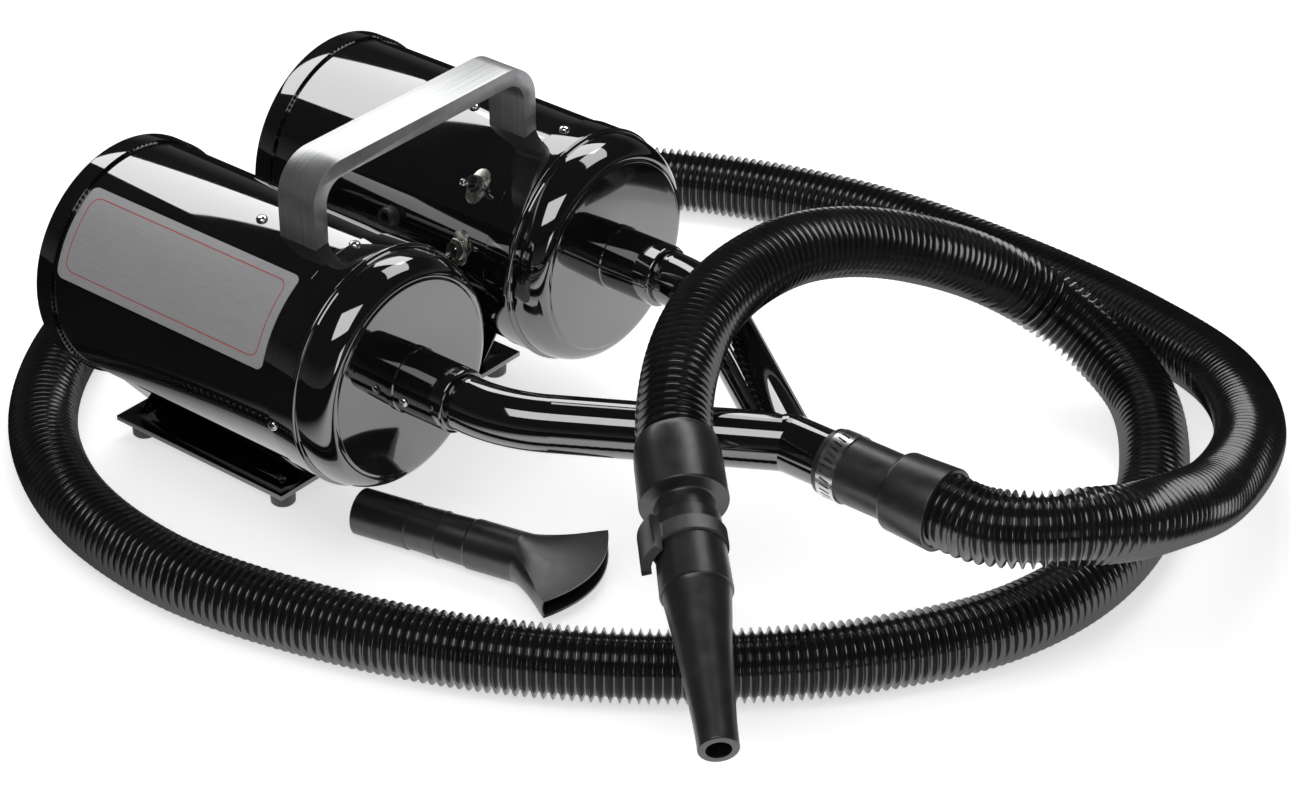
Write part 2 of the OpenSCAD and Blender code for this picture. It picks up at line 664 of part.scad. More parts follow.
rings = 2 * hose_ribs;
bore_rings = 96;
skin = [for (i = [0:rings]) each hoop(hose_length * i / rings, i % 2 == 0 ? hose_valley_r : hose_r)];
lining = [for (i = [0:bore_rings]) each hoop(hose_length * i / bore_rings, hose_bore_r)];
function wall_faces(n, base, flip) =             // triangles between successive hoops
    [for (i = [0:n - 1], k = [0:sides - 1])
        let (a = base + i * sides + k, b = base + i * sides + (k + 1) % sides,
             c = a + sides, d = b + sides)
            each flip ? [[a, b, c], [b, d, c]] : [[a, c, b], [b, c, d]]];
function end_faces(outer, inner, flip) =         // triangles across the wall at one end
    [for (k = [0:sides - 1])
        let (a = outer + k, b = outer + (k + 1) % sides, c = inner + k, d = inner + (k + 1) % sides)
            each flip ? [[a, c, b], [b, c, d]] : [[a, b, c], [b, d, c]]];

gap_step = 4;
hose_points = [for (i = [0:gap_step:rings]) at(hose_length * i / rings)];
near_turns = 6 * hose_r / (hose_length / rings * gap_step);
self_gap = min([for (i = [0:len(hose_points) - 2], j = [i + 1:len(hose_points) - 1])
    if (j - i > near_turns) norm(hose_points[i] - hose_points[j])]) - 2 * hose_r;

module hose() {
    echo(hose_length_mm = hose_length, hose_least_gap_to_itself_mm = self_gap);
    color(satin_black) polyhedron(
        points = concat(skin, lining),
        faces = concat(
            wall_faces(rings, 0, false),
            wall_faces(bore_rings, len(skin), true),
            end_faces(0, len(skin), false),
            end_faces(rings * sides, len(skin) + bore_rings * sides, true)));
}

// ---- Hand cuff, lock ring and blower nozzle -------------------------------------------------

module on_nozzle() translate(hand_point) rotate([0, nozzle_slope, nozzle_heading]) children();

spout_bore_r = plug_r + fit;
spout_end = hand_cuff_len + spout_len;
nozzle_x = hand_cuff_len + 15;                   // rear edge of the nozzle's socket
socket_in = spout_r + fit;
socket_r = socket_in + nozzle_wall;
socket_end = nozzle_x + socket_len;
nozzle_end = socket_end + cone_len;
ring_x = nozzle_x + 12;

module hand_cuff()
    color(satin_black) on_nozzle() turned([
        [0, hose_fit_r], [0, grip_r - 2.6], each arc(24, grip_r - 3, 23.4, 2.6, 170, 100, 6),
        [24, grip_r - 0.4], [hand_cuff_len - 3, grip_r], [hand_cuff_len - 1, grip_r - 1.4],
        [hand_cuff_len, spout_r + 2], [hand_cuff_len + 2, spout_r],
        [spout_end - 1, spout_r], [spout_end, spout_r - 1], [spout_end, spout_bore_r],
        [hose_grip, spout_bore_r], [hose_grip, hose_fit_r]
    ]);

// open ring with a thumb tab, clipped round the nozzle's collar
ring_in = socket_r + fit;
ring_gap = 70;
module lock_ring()
    color(satin_black) on_nozzle() {
        rotate([0, 90, 0]) translate([0, 0, ring_x]) rotate([0, 0, ring_gap / 2])
            rotate_extrude(angle = 360 - ring_gap) translate([ring_in, 0]) square([ring_t, ring_w]);
        difference() {
            rotate([0, 90, 0]) translate([0, 0, ring_x - 4]) rotate([0, 0, 228])
                rotate_extrude(angle = 56) translate([ring_in + ring_t - 0.6, 0])
                    square([9, ring_w + 16]);
            rotate([0, 90, 0]) translate([0, 0, ring_x + ring_w + 14])
                rotate([0, 0, 256]) translate([ring_in + ring_t + 10, -20, -9])
                    rotate([0, 30, 0]) cube([20, 40, 40]);
            ring(ring_x + ring_w, ring_x + ring_w + 20, ring_in + ring_t + 1.6);
            ring(ring_x - 10, ring_x, ring_in + ring_t + 1.6);
        }
    }

// socket, collar, stepped edge, cone and slender tip, bored through
cone_start_r = socket_r + 1.4;
nozzle_skin = [
    [nozzle_x, socket_r - 0.6], [nozzle_x + 0.6, socket_r], [ring_x + ring_w, socket_r],
    [ring_x + ring_w + 1, socket_r + 0.6], [socket_end - 1, cone_start_r],
    [socket_end, cone_start_r - 1], [socket_end + 2, cone_start_r - 1.6],
    [socket_end + cone_len * 0.08, cone_start_r - 2.6], [socket_end + cone_len * 0.18, tip_r + 7],
    [socket_end + cone_len * 0.28, tip_r + 5.6], [socket_end + cone_len * 0.52, tip_r + 3.2],
    [socket_end + cone_len * 0.72, tip_r + 1.4], [socket_end + cone_len * 0.85, tip_r + 0.4],
    [nozzle_end - 6, tip_r], each arc(nozzle_end - 3, tip_r - 3, 3, 3, 90, 0, 5)
];
nozzle_lining = [
    [nozzle_end, tip_r - 5], [socket_end + cone_len * 0.5, tip_r + 0.4],
    [socket_end + cone_len * 0.15, tip_r + 3.6], [socket_end - 2, spout_bore_r],
    [spout_end + slip, spout_bore_r], [spout_end + slip, socket_in], [nozzle_x, socket_in]
];
module nozzle() color(satin_black) on_nozzle() turned(concat(nozzle_skin, nozzle_lining));

// ---- Spare fan nozzle -----------------------------------------------------------------------

fan_start = [-102, -111];                         // rear end of the plug tube, on the floor
fan_heading = 12.7;
collar_x = plug_len;
body_x = plug_len + 2 * step_len;
flare_x = body_x + body_len - 8;
mouth_x = body_x + body_len + mouth_reach;
mouth_arc_r = (mouth_w * mouth_w / 4 + mouth_bulge * mouth_bulge) / (2 * mouth_bulge);

module on_fan() translate([fan_start[0], fan_start[1], body_r]) rotate([0, 0, fan_heading]) children();

// upright oval slice of the flare
module oval(x, w, h)
    translate([x, 0, 0]) rotate([90, 0, 90]) linear_extrude(0.2) scale([w, h]) circle(d = 1, $fn = 32);

// slab under the mouth's curved edge, shrunk all round by inset
module mouth_slab(inset, over)
    linear_extrude(mouth_h - 2 * inset, center = true) intersection() {
        translate([mouth_x + mouth_bulge - mouth_arc_r, 0]) circle(r = mouth_arc_r + over, $fn = 96);
        translate([mouth_x - 3, -mouth_w / 2 + inset]) square([mouth_bulge + 8, mouth_w - 2 * inset]);
    }

module flare(inset, over) {
    hull() {
        oval(flare_x, 2 * (body_r - 2.5 - inset), 2 * (body_r - 2.5 - inset));
        oval(flare_x + 18, mouth_w * 0.45 - 2 * inset, mouth_h * 1.5 - 2 * inset);
    }
    hull() {
        oval(flare_x + 18, mouth_w * 0.45 - 2 * inset, mouth_h * 1.5 - 2 * inset);
        mouth_slab(inset, over);
    }
}

module fan_nozzle()
    color(satin_black) on_fan() difference() {
        union() {
            turned([
                [0, 0], [0, plug_r - 0.8], [0.8, plug_r], [collar_x, plug_r],
                [collar_x + 0.8, plug_r - 0.7], [collar_x + step_len - 1, plug_r],
                [collar_x + step_len, plug_r + 0.3], [collar_x + step_len + 0.8, plug_r - 0.5],
                [body_x - 1, plug_r + 0.2], [body_x + 0.5, body_r], [body_x + body_len - 1, body_r],
                [body_x + body_len, body_r - 1], [body_x + body_len, 0]
            ]);
            flare(0, 0);
        }
        ring(-1, flare_x + 1, plug_r - fan_nozzle_wall);
        flare(fan_nozzle_wall, 2);
    }

// ---- Switches, gland and handle ---------------------------------------------------------------

body_w = 17;
body_l = 28;
body_h = 20;
ball_r = 2.6;                                    // ball on the lever's foot
lever_pivot = bush_len - 4.6;                    // height of the ball's centre over the can
body_top = can_in - sqrt(can_in * can_in - body_w * body_w / 4) + can_wall + fit;
module switch_body(l)
    color([0.12, 0.12, 0.12]) on_far_wall(switch_x, switch_angle(l)) difference() {
        union() {
            translate([-body_l / 2, -body_w / 2, -body_top - body_h]) cube([body_l, body_w, body_h]);
            translate([0, 0, -body_top - 1])
                cylinder(h = body_top + 1 + bush_len, r = bush_r, $fn = small_fn);
            for (x = [-8, 0, 8])
                translate([x - 2.5, -0.4, -body_top - body_h - 7]) cube([5, 0.8, 8]);
        }
        translate([0, 0, lever_pivot]) sphere(r = ball_r + fit, $fn = small_fn);
        translate([0, 0, lever_pivot + 1])
            cylinder(h = bush_len - lever_pivot, r1 = ball_r - 0.2, r2 = bush_r - 0.6, $fn = small_fn);
    }

// oblong plate curved to the can, under the nut
plate_l = 28;
plate_wide = 14;
plate_t = 1.2;
module switch_plate(l)
    color(bright_steel) intersection() {
        translate([0, can_y, can_z]) difference() {
            ring(switch_x - 20, switch_x + 20, can_r + fit + plate_t, can_r + fit);
        }
        on_far_wall(switch_x, switch_angle(l)) difference() {
            translate([0, 0, -8]) linear_extrude(16) {
                square([plate_wide, plate_l - plate_wide], center = true);
                for (k = [-1, 1]) translate([0, k * (plate_l - plate_wide) / 2])
                    circle(d = plate_wide, $fn = small_fn);
            }
            translate([0, 0, -9]) cylinder(h = 18, r = bush_r + fit, $fn = small_fn);
        }
    }

nut_r = 8.5;
module switch_nut(l)
    color(bright_steel) on_far_wall(switch_x, switch_angle(l)) difference() {
        translate([0, 0, plate_t + 2 * fit]) cylinder(h = 3.5, r = nut_r, $fn = 6);
        translate([0, 0, -1]) cylinder(h = 8, r = bush_r + fit, $fn = small_fn);
    }

module switch_lever(l)
    color(bright_steel) on_far_wall(switch_x, switch_angle(l))
        translate([0, 0, lever_pivot]) rotate([lever_lean, 0, 0]) {
            sphere(r = ball_r, $fn = small_fn);
            rotate_extrude($fn = small_fn) polygon([
                [0, 0], [1.5, 0], [1.9, lever_len * 0.4], [2.8, lever_len - 2],
                [2.2, lever_len - 0.5], [0, lever_len]
            ]);
        }

// strain relief: collar outside the can, snap neck through it, and the bore for the mains lead
gland_neck_r = gland_r - 2;
module cord_gland()
    color(satin_black) on_far_wall(gland_x, gland_angle) difference() {
        union() {
            translate([0, 0, fit]) cylinder(h = 9, r1 = gland_r, r2 = gland_r - 1.5, $fn = small_fn);
            translate([0, 0, -8]) cylinder(h = 10, r = gland_neck_r, $fn = small_fn);
            translate([0, 0, -10]) cylinder(h = 5, r1 = gland_neck_r, r2 = gland_neck_r + 1.5, $fn = small_fn);
        }
        translate([0, 0, -11]) cylinder(h = 22, r = 3.8, $fn = small_fn);
    }

// flat bar bent into a bridge, its legs shaped to the cans and tapped for their bolts
function leg_y(s) = (s == "near" ? -1 : 1) * (handle_span - handle_t) / 2 - handle_shift;
module handle()
    color([0.74, 0.75, 0.76]) difference() {
        translate([handle_x - handle_w / 2, -handle_shift, 0]) rotate([90, 0, 90])
            linear_extrude(handle_w) difference() {
                union() {
                    translate([-handle_span / 2, can_z]) square([handle_span, handle_top - can_z - handle_corner]);
                    translate([-handle_span / 2 + handle_corner, can_z])
                        square([handle_span - 2 * handle_corner, handle_top - can_z]);
                    for (k = [-1, 1])
                        translate([k * (handle_span / 2 - handle_corner), handle_top - handle_corner])
                            circle(r = handle_corner);
                }
                translate([-handle_span / 2 + handle_t, can_z - 1])
                    square([handle_span - 2 * handle_t, handle_top - can_z - handle_corner + 1]);
                translate([-handle_span / 2 + handle_corner, can_z - 1])
                    square([handle_span - 2 * handle_corner, handle_top - can_z - handle_t + 1]);
                for (k = [-1, 1])
                    translate([k * (handle_span / 2 - handle_corner), handle_top - handle_corner])
                        circle(r = handle_corner - handle_t);
            }
        for (s = SIDES) on_can(s) ring(handle_x - handle_w, handle_x + handle_w, can_r + fit);
        for (s = SIDES) translate([handle_x, leg_y(s), can_z])
            cylinder(h = can_r + 14, r = handle_bolt_r, $fn = small_fn);
    }

// ---- Nodes ------------------------------------------------------------------------------------

base_plate();
for (s = SIDES) saddle(s);
for (e = ENDS, s = SIDES) foot(e, s);
for (s = SIDES) can(s);
for (s = SIDES) cap(s);
for (s = SIDES) rear_cover(s);
for (s = SIDES) filter_pad(s);
for (s = SIDES) motor_mount(s);
for (s = SIDES) motor(s);
for (s = SIDES) rotor(s);
for (s = SIDES) outlet(s);
for (l = LEVELS) switch_body(l);
for (l = LEVELS) switch_plate(l);
for (l = LEVELS) switch_nut(l);
for (l = LEVELS) switch_lever(l);
cord_gland();
handle();
y_pipe();
clamp_band();
clamp_screw();
machine_cuff();
hose();
hand_cuff();
lock_ring();
nozzle();
fan_nozzle();
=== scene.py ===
"""Looks of the twin-can pet dryer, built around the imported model. Sizes are in millimetres here and
go through mm() into the frame's metres. x runs along the cans to their outlets, z is up."""

import json
from math import atan2, cos, degrees, pi, radians, sin, sqrt

import bmesh
import bpy
import numpy as np
from mathutils import Matrix, Vector


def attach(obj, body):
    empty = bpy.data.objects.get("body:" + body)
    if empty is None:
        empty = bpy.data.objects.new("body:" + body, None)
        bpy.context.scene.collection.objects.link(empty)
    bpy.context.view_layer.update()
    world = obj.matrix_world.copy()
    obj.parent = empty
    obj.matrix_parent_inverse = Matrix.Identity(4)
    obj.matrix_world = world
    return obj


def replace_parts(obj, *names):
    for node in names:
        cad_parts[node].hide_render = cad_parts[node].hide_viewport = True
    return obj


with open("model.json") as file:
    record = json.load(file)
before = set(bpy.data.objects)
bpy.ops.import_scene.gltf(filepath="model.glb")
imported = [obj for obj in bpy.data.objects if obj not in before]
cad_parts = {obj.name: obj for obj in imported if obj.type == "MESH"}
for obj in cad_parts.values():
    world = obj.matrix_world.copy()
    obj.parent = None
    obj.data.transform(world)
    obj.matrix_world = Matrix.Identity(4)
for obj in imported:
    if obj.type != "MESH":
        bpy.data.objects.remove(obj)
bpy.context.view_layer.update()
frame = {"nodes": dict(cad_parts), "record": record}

MM = 0.001
scene = bpy.context.scene
NODES = frame["nodes"]
SIDES = {"near": -1, "far": 1}


def mm(*values):
    return Vector(values) * MM


# ---- Camera ----------------------------------------------------------------------------------

CAMERA_AT = (1371.95, -1575.33, 1411.89)
CAMERA_RIGHT = Vector((0.7725, 0.6350, 0.0))
CAMERA_BACK = Vector((0.53742, -0.65378, 0.53268))
FOCAL_PX, FRAME_W, SENSOR = 3387.88, 1290, 36.0


def make_camera():
    data = bpy.data.cameras.new("camera")
    data.sensor_width = SENSOR
    data.lens = FOCAL_PX / FRAME_W * SENSOR
    data.clip_start, data.clip_end = 0.05, 60
    camera = bpy.data.objects.new("camera", data)
    scene.collection.objects.link(camera)
    back = CAMERA_BACK.normalized()
    right = CAMERA_RIGHT.normalized()
    up = back.cross(right)
    turn = Matrix((right, up, back)).transposed().to_4x4()
    camera.matrix_world = Matrix.Translation(mm(*CAMERA_AT)) @ turn
    scene.camera = camera


make_camera()

# ---- Meshes ----------------------------------------------------------------------------------


def new_mesh(name, points, faces):
    """A mesh from points in millimetres, its normals pointing out."""
    mesh = bpy.data.meshes.new(name)
    mesh.from_pydata([tuple(p) for p in np.asarray(points, float) * MM], [], [tuple(f) for f in faces])
    mesh.validate()
    fix_normals(mesh)
    return mesh


def new_piece(name, points, faces, material, body="dryer", slot=None, smooth=32):
    """A mesh object from points in millimetres, smooth but for edges sharper than that angle."""
    mesh = new_mesh(name, points, faces)
    mesh.shade_smooth()
    mesh.set_sharp_from_angle(angle=radians(smooth))
    mesh.materials.append(material)
    piece = bpy.data.objects.new(name, mesh)
    scene.collection.objects.link(piece)
    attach(piece, body)
    return piece


def fix_normals(mesh):
    work = bmesh.new()
    work.from_mesh(mesh)
    bmesh.ops.recalc_face_normals(work, faces=work.faces)
    work.to_mesh(mesh)
    work.free()


def grid_faces(rows, columns, wrap_rows=False, wrap_columns=True, base=0):
    """Quads between rows of points, each row holding that many columns."""
    faces = []
    for i in range(rows if wrap_rows else rows - 1):
        for k in range(columns if wrap_columns else columns - 1):
            a, b = i * columns + k, i * columns + (k + 1) % columns
            c, d = ((i + 1) % rows) * columns + (k + 1) % columns, ((i + 1) % rows) * columns + k
            faces.append((base + a, base + b, base + c, base + d))
    return faces


def arc(cx, cr, rx, rr, a0, a1, n):
    """Points of an ellipse's arc between two angles in degrees."""
    return [(cx + rx * cos(radians(a0 + (a1 - a0) * i / n)),
             cr + rr * sin(radians(a0 + (a1 - a0) * i / n))) for i in range(n + 1)]


def lathe_points(profile, segments):
    turns = [2 * pi * k / segments for k in range(segments)]
    return [(x, r * cos(t), r * sin(t)) for x, r in profile for t in turns]


def lathe(name, profile, place, material, segments=160, closed=True, **more):
    """A profile of (x, r) points turned about the local X axis, then placed by a matrix in mm."""
    points = [place @ Vector(p) for p in lathe_points(profile, segments)]
    faces = grid_faces(len(profile), segments, wrap_rows=closed)
    return new_piece(name, points, faces, material, **more)


def at(x, y, z):
    return Matrix.Translation((x, y, z))
def hermite(a, b, slope_a, slope_b, n):
    """The first n of n + 1 points on a smooth curve from a to b with these slopes at its ends."""
    return [(2 * t**3 - 3 * t**2 + 1) * a + (t**3 - 2 * t**2 + t) * slope_a
            + (3 * t**2 - 2 * t**3) * b + (t**3 - t**2) * slope_b for t in np.arange(n) / n]


def hoops(centres, ways, radii, sides):
    """A ring of points round each centre, square to its way."""
    ways = ways / np.linalg.norm(ways, axis=1)[:, None]
    side = np.cross((0, 0, 1), ways)
    side /= np.linalg.norm(side, axis=1)[:, None]
    over = np.cross(ways, side)
    turn = (np.arange(sides) * 2 * pi / sides)[None, :, None]
    spokes = np.cos(turn) * side[:, None, :] + np.sin(turn) * over[:, None, :]
    return centres[:, None, :] + np.asarray(radii, float)[:, None, None] * spokes


def capped_faces(rings, sides):
    """The faces of a tube of rings, closed by a flat face at each end."""
    last = (rings - 1) * sides
    return grid_faces(rings, sides) + [tuple(range(sides))[::-1], tuple(range(last, last + sides))]


# ---- Materials -------------------------------------------------------------------------------


class Finish:
    """A Principled material with noise-driven variation, built node by node."""

    def __init__(self, name, **sockets):
        self.material = bpy.data.materials.new(name)
        self.material.use_nodes = True
        self.tree = self.material.node_tree
        self.shader = self.tree.nodes["Principled BSDF"]
        for socket, value in sockets.items():
            self.shader.inputs[socket.replace("_", " ")].default_value = value
        self.place = self.tree.nodes.new("ShaderNodeTexCoord").outputs["Object"]

    def noise(self, scale, stretch=(1, 1, 1), detail=4.0, roughness=0.55):
        mapping = self.tree.nodes.new("ShaderNodeMapping")
        mapping.inputs["Scale"].default_value = stretch
        self.tree.links.new(self.place, mapping.inputs["Vector"])
        node = self.tree.nodes.new("ShaderNodeTexNoise")
        node.inputs["Scale"].default_value = scale
        node.inputs["Detail"].default_value = detail
        node.inputs["Roughness"].default_value = roughness
        self.tree.links.new(mapping.outputs["Vector"], node.inputs["Vector"])
        return node.outputs["Fac"]

    def remap(self, value, low, high, source=(0.3, 0.7)):
        node = self.tree.nodes.new("ShaderNodeMapRange")
        node.inputs["From Min"].default_value, node.inputs["From Max"].default_value = source
        node.inputs["To Min"].default_value, node.inputs["To Max"].default_value = low, high
        self.tree.links.new(value, node.inputs["Value"])
        return node.outputs["Result"]

    def colour(self, value, low, high, source=(0.3, 0.7)):
        node = self.tree.nodes.new("ShaderNodeMix")
        node.data_type = "RGBA"
        node.inputs["A"].default_value = (*low, 1)
        node.inputs["B"].default_value = (*high, 1)
        self.tree.links.new(self.remap(value, 0, 1, source), node.inputs["Factor"])
        self.tree.links.new(node.outputs["Result"], self.shader.inputs["Base Color"])
        return self

    def rough(self, value, low, high, source=(0.3, 0.7)):
        self.tree.links.new(self.remap(value, low, high, source), self.shader.inputs["Roughness"])
        return self

    def bump(self, value, distance, strength=1.0):
        node = self.tree.nodes.new("ShaderNodeBump")
        node.inputs["Strength"].default_value = strength
        node.inputs["Distance"].default_value = distance
        self.tree.links.new(value, node.inputs["Height"])
        self.tree.links.new(node.outputs["Normal"], self.shader.inputs["Normal"])
        return self

    def add(self, a, b):
        node = self.tree.nodes.new("ShaderNodeMath")
        node.operation = "ADD"
        self.tree.links.new(a, node.inputs[0])
        self.tree.links.new(b, node.inputs[1])
        return node.outputs[0]


def gloss_black():
    f = Finish("gloss black enamel", IOR=1.8, Specular_IOR_Level=1.0, Coat_Weight=0.5, Coat_Roughness=0.02)
    f.colour(f.noise(18), (0.0035, 0.0035, 0.0038), (0.0055, 0.0055, 0.006))
    f.rough(f.noise(45), 0.035, 0.06)
    return f.bump(f.noise(160, detail=2), 0.00002, 0.12).material


def satin_black():
    f = Finish("satin black plastic", IOR=1.6, Specular_IOR_Level=0.8)
    f.colour(f.noise(60), (0.010, 0.010, 0.0105), (0.019, 0.019, 0.02))
    f.rough(f.noise(110), 0.30, 0.40)
    return f.bump(f.noise(1500, detail=3), 0.00004, 0.25).material


def hose_black():
    f = Finish("ribbed hose", IOR=1.6, Specular_IOR_Level=0.9)
    f.colour(f.noise(40), (0.007, 0.007, 0.0075), (0.013, 0.013, 0.0135))
    f.rough(f.noise(220), 0.13, 0.21)
    return f.bump(f.noise(700, detail=2), 0.00003, 0.3).material


def brushed_aluminium():
    f = Finish("brushed aluminium", Metallic=0.9, Specular_IOR_Level=0.6)
    lines = f.noise(1.0, (2600, 14, 14), detail=6, roughness=0.7)
    depth = f.noise(1.0, (30, 900, 900), detail=3)
    grain = f.add(lines, f.remap(depth, 0, 0.25))
    f.colour(lines, (0.34, 0.345, 0.35), (0.72, 0.725, 0.73), (0.3, 0.7))
    f.rough(lines, 0.30, 0.46, (0.25, 0.75))
    return f.bump(grain, 0.00006, 0.35).material


def plated(name, low, high, rough_low, rough_high, scale=260):
    f = Finish(name, Metallic=1.0)
    f.colour(f.noise(scale), low, high)
    f.rough(f.noise(scale * 1.7), rough_low, rough_high)
    return f.bump(f.noise(scale * 4), 0.00002, 0.2).material


def brushed_band():
    f = Finish("stainless band", Metallic=1.0)
    lines = f.noise(1.0, (2400, 40, 40), detail=5, roughness=0.7)
    f.colour(lines, (0.60, 0.60, 0.59), (0.84, 0.83, 0.81), (0.25, 0.75))
    f.rough(lines, 0.14, 0.3, (0.25, 0.75))
    return f.bump(lines, 0.00004, 0.3).material


def grey_rubber():
    f = Finish("grey rubber", Subsurface_Weight=0.25, Subsurface_Scale=0.004)
    f.colour(f.noise(90), (0.16, 0.16, 0.16), (0.23, 0.23, 0.23))
    f.rough(f.noise(300), 0.42, 0.6)
    return f.bump(f.noise(900), 0.00006, 0.3).material


def matte(name, low, high, rough_low=0.6, rough_high=0.85, scale=400, bump=0.0001):
    f = Finish(name)
    f.colour(f.noise(scale / 4), low, high)
    f.rough(f.noise(scale), rough_low, rough_high)
    return f.bump(f.noise(scale * 2), bump, 0.4).material


def foam():
    f = Finish("open-cell foam", Roughness=0.95)
    cells = f.tree.nodes.new("ShaderNodeTexVoronoi")
    cells.inputs["Scale"].default_value = 900
    f.tree.links.new(f.place, cells.inputs["Vector"])
    # The colour darkens towards each cell's middle, where the bump is lowest: painted shade in the foam's
    # pores.
    f.colour(cells.outputs["Distance"], (0.012, 0.012, 0.012), (0.07, 0.07, 0.07), (0.1, 0.6))
    return f.bump(cells.outputs["Distance"], 0.0006, 0.8).material


def label_foil():
    f = Finish("silver label foil", Metallic=0.25, Specular_IOR_Level=0.4)
    lines = f.noise(1.0, (60, 1400, 1400), detail=5, roughness=0.65)
    f.colour(lines, (0.36, 0.36, 0.365), (0.47, 0.47, 0.475), (0.25, 0.75))
    f.rough(lines, 0.4, 0.5, (0.25, 0.75))
    return f.bump(lines, 0.00003, 0.15).material


def painted(name, low, high, rough_low, rough_high):
    f = Finish(name)
    f.colour(f.noise(120), low, high)
    return f.rough(f.noise(200), rough_low, rough_high).material


GLOSS, SATIN, HOSE = gloss_black(), satin_black(), hose_black()
ALUMINIUM, BAND, RUBBER, FOIL = brushed_aluminium(), brushed_band(), grey_rubber(), label_foil()
CHROME = plated("chrome", (0.72, 0.72, 0.73), (0.86, 0.86, 0.87), 0.06, 0.16)
ZINC = plated("zinc plate", (0.52, 0.50, 0.45), (0.72, 0.70, 0.64), 0.2, 0.38)
STEEL = plated("plain steel", (0.4, 0.4, 0.41), (0.56, 0.56, 0.57), 0.3, 0.5, 120)
ROTOR = plated("turned aluminium and copper", (0.5, 0.38, 0.26), (0.68, 0.56, 0.42), 0.3, 0.5, 150)
BLACK_RUBBER = matte("black rubber", (0.012, 0.012, 0.012), (0.028, 0.028, 0.028))
SWITCH_BLACK = matte("black moulding", (0.012, 0.012, 0.013), (0.024, 0.024, 0.025), 0.4, 0.6)
FOAM = foam()
RED = painted("red line", (0.42, 0.025, 0.02), (0.55, 0.04, 0.03), 0.35, 0.5)

SLOT_OF = {part["node"]: part["material_slot"] for part in frame["record"]["subparts"]}
BODY_OF = {n: body for body, names in frame["record"]["behaviour"]["bodies"].items() for n in names}
SLOT_FINISH = {
    "gloss_black_steel": GLOSS, "grey_rubber": RUBBER, "black_rubber": BLACK_RUBBER, "foam": FOAM,
    "motor_steel": STEEL, "rotor_metal": ROTOR, "black_plastic": SWITCH_BLACK, "zinc": ZINC,
    "chrome": CHROME, "brushed_aluminium": ALUMINIUM, "stainless": BAND,
    "satin_black_plastic": SATIN, "hose_plastic": HOSE,
}


def dress_nodes():
    for name, slot_name in SLOT_OF.items():
        NODES[name].data.materials.clear()
        NODES[name].data.materials.append(SLOT_FINISH[slot_name])


dress_nodes()

# ---- Hose ------------------------------------------------------------------------------------

STEM_Z = 149.0
CUFF_END_X = 337.1
HOSE_R, HOSE_VALLEY_R, HOSE_BORE_R = 26.3, 21.5, 20.2
HOSE_GRIP, SLIP = 30.0, 0.3
RIB_PITCH = 6.4
HOSE_SIDES = 48
NOZZLE_SLOPE, NOZZLE_HEADING = 17.0, -44.5
HAND_POINT = Vector((180.5, -93.5, 184.0))
NOZZLE_TURN = (Matrix.Rotation(radians(NOZZLE_HEADING), 4, "Z")
               @ Matrix.Rotation(radians(NOZZLE_SLOPE), 4, "Y"))
NOZZLE_DIR = NOZZLE_TURN.to_3x3() @ Vector((1, 0, 0))
HOSE_START = Vector((CUFF_END_X - HOSE_GRIP + SLIP, 0, STEM_Z))
HOSE_END = HAND_POINT + (HOSE_GRIP - SLIP) * NOZZLE_DIR
ROUTE = [
    HOSE_START, (338, 0, STEM_Z), (361, 0, STEM_Z), (399, 14, 153), (422, 36, 154), (436, 62, 149),
    (442, 120, 132), (430, 200, 102), (393, 310, 78), (322, 397, 56), (213, 454, 37),
    (90, 481, 28), (-80, 476, 27), (-310, 375, 27), (-400, 285, 27),
    (-453, 170, 27), (-472, 40, 27), (-429, -102, 27), (-354, -194, 27), (-271, -242, 27),
    (-154, -262, 27), (-28, -241, 27), (116, -182, 27), (217, -111, 27), (303, -20, 27),
    (349, 58, 27), (366, 135, 27), (360, 208, 27), (326, 294, 29), (264, 362, 45), (220, 374, 61),
    (188, 368, 79), (126, 258, 161), (107, 188, 190), (102, 140, 203), (105, 57, 209),
    (130, -18, 206), (148, -51, 200), HAND_POINT - 12 * NOZZLE_DIR, HOSE_END,
]
STEPS = 12
WAY_REACH = 3.0  # the hose's way at a place is taken between the points this far to both sides
RIB_SHAPE = [  # share of the pitch, share of the rib's height
    (0.0, 0.0), (0.16, 0.07), (0.31, 0.45), (0.42, 0.87),
    (0.5, 1.0), (0.58, 0.87), (0.69, 0.45), (0.84, 0.07),
]


def hose_line():
    """The smooth curve through the route's points, whose ends run square to their cuffs."""
    p = np.array([tuple(q) for q in ROUTE], float)
    gap = np.linalg.norm(np.diff(p, axis=0), axis=1)
    ways = [np.array((1.0, 0, 0))]
    for i in range(1, len(p) - 1):
        a, b = gap[i - 1], gap[i]
        ways.append(((p[i + 1] - p[i]) * a / b + (p[i] - p[i - 1]) * b / a) / (a + b))
    ways.append(np.array(tuple(NOZZLE_DIR)))
    line = []
    for i, h in enumerate(gap):
        line += hermite(p[i], p[i + 1], h * ways[i], h * ways[i + 1], STEPS)
    return np.array(line + [p[-1]])


def distances(line):
    """How far along the line each of its points lies."""
    return np.concatenate([[0], np.cumsum(np.linalg.norm(np.diff(line, axis=0), axis=1))])


def points_along(line, places):
    """The line's points at these distances along it."""
    along = distances(line)
    return np.stack([np.interp(places, along, line[:, k]) for k in range(3)], -1)


def hose_hoops(line, places, radii):
    """Rings of points square to the line at these distances along it."""
    ahead = np.minimum(places + WAY_REACH, distances(line)[-1])
    behind = np.maximum(places - WAY_REACH, 0)
    ways = points_along(line, ahead) - points_along(line, behind)
    return hoops(points_along(line, places), ways, radii, HOSE_SIDES)


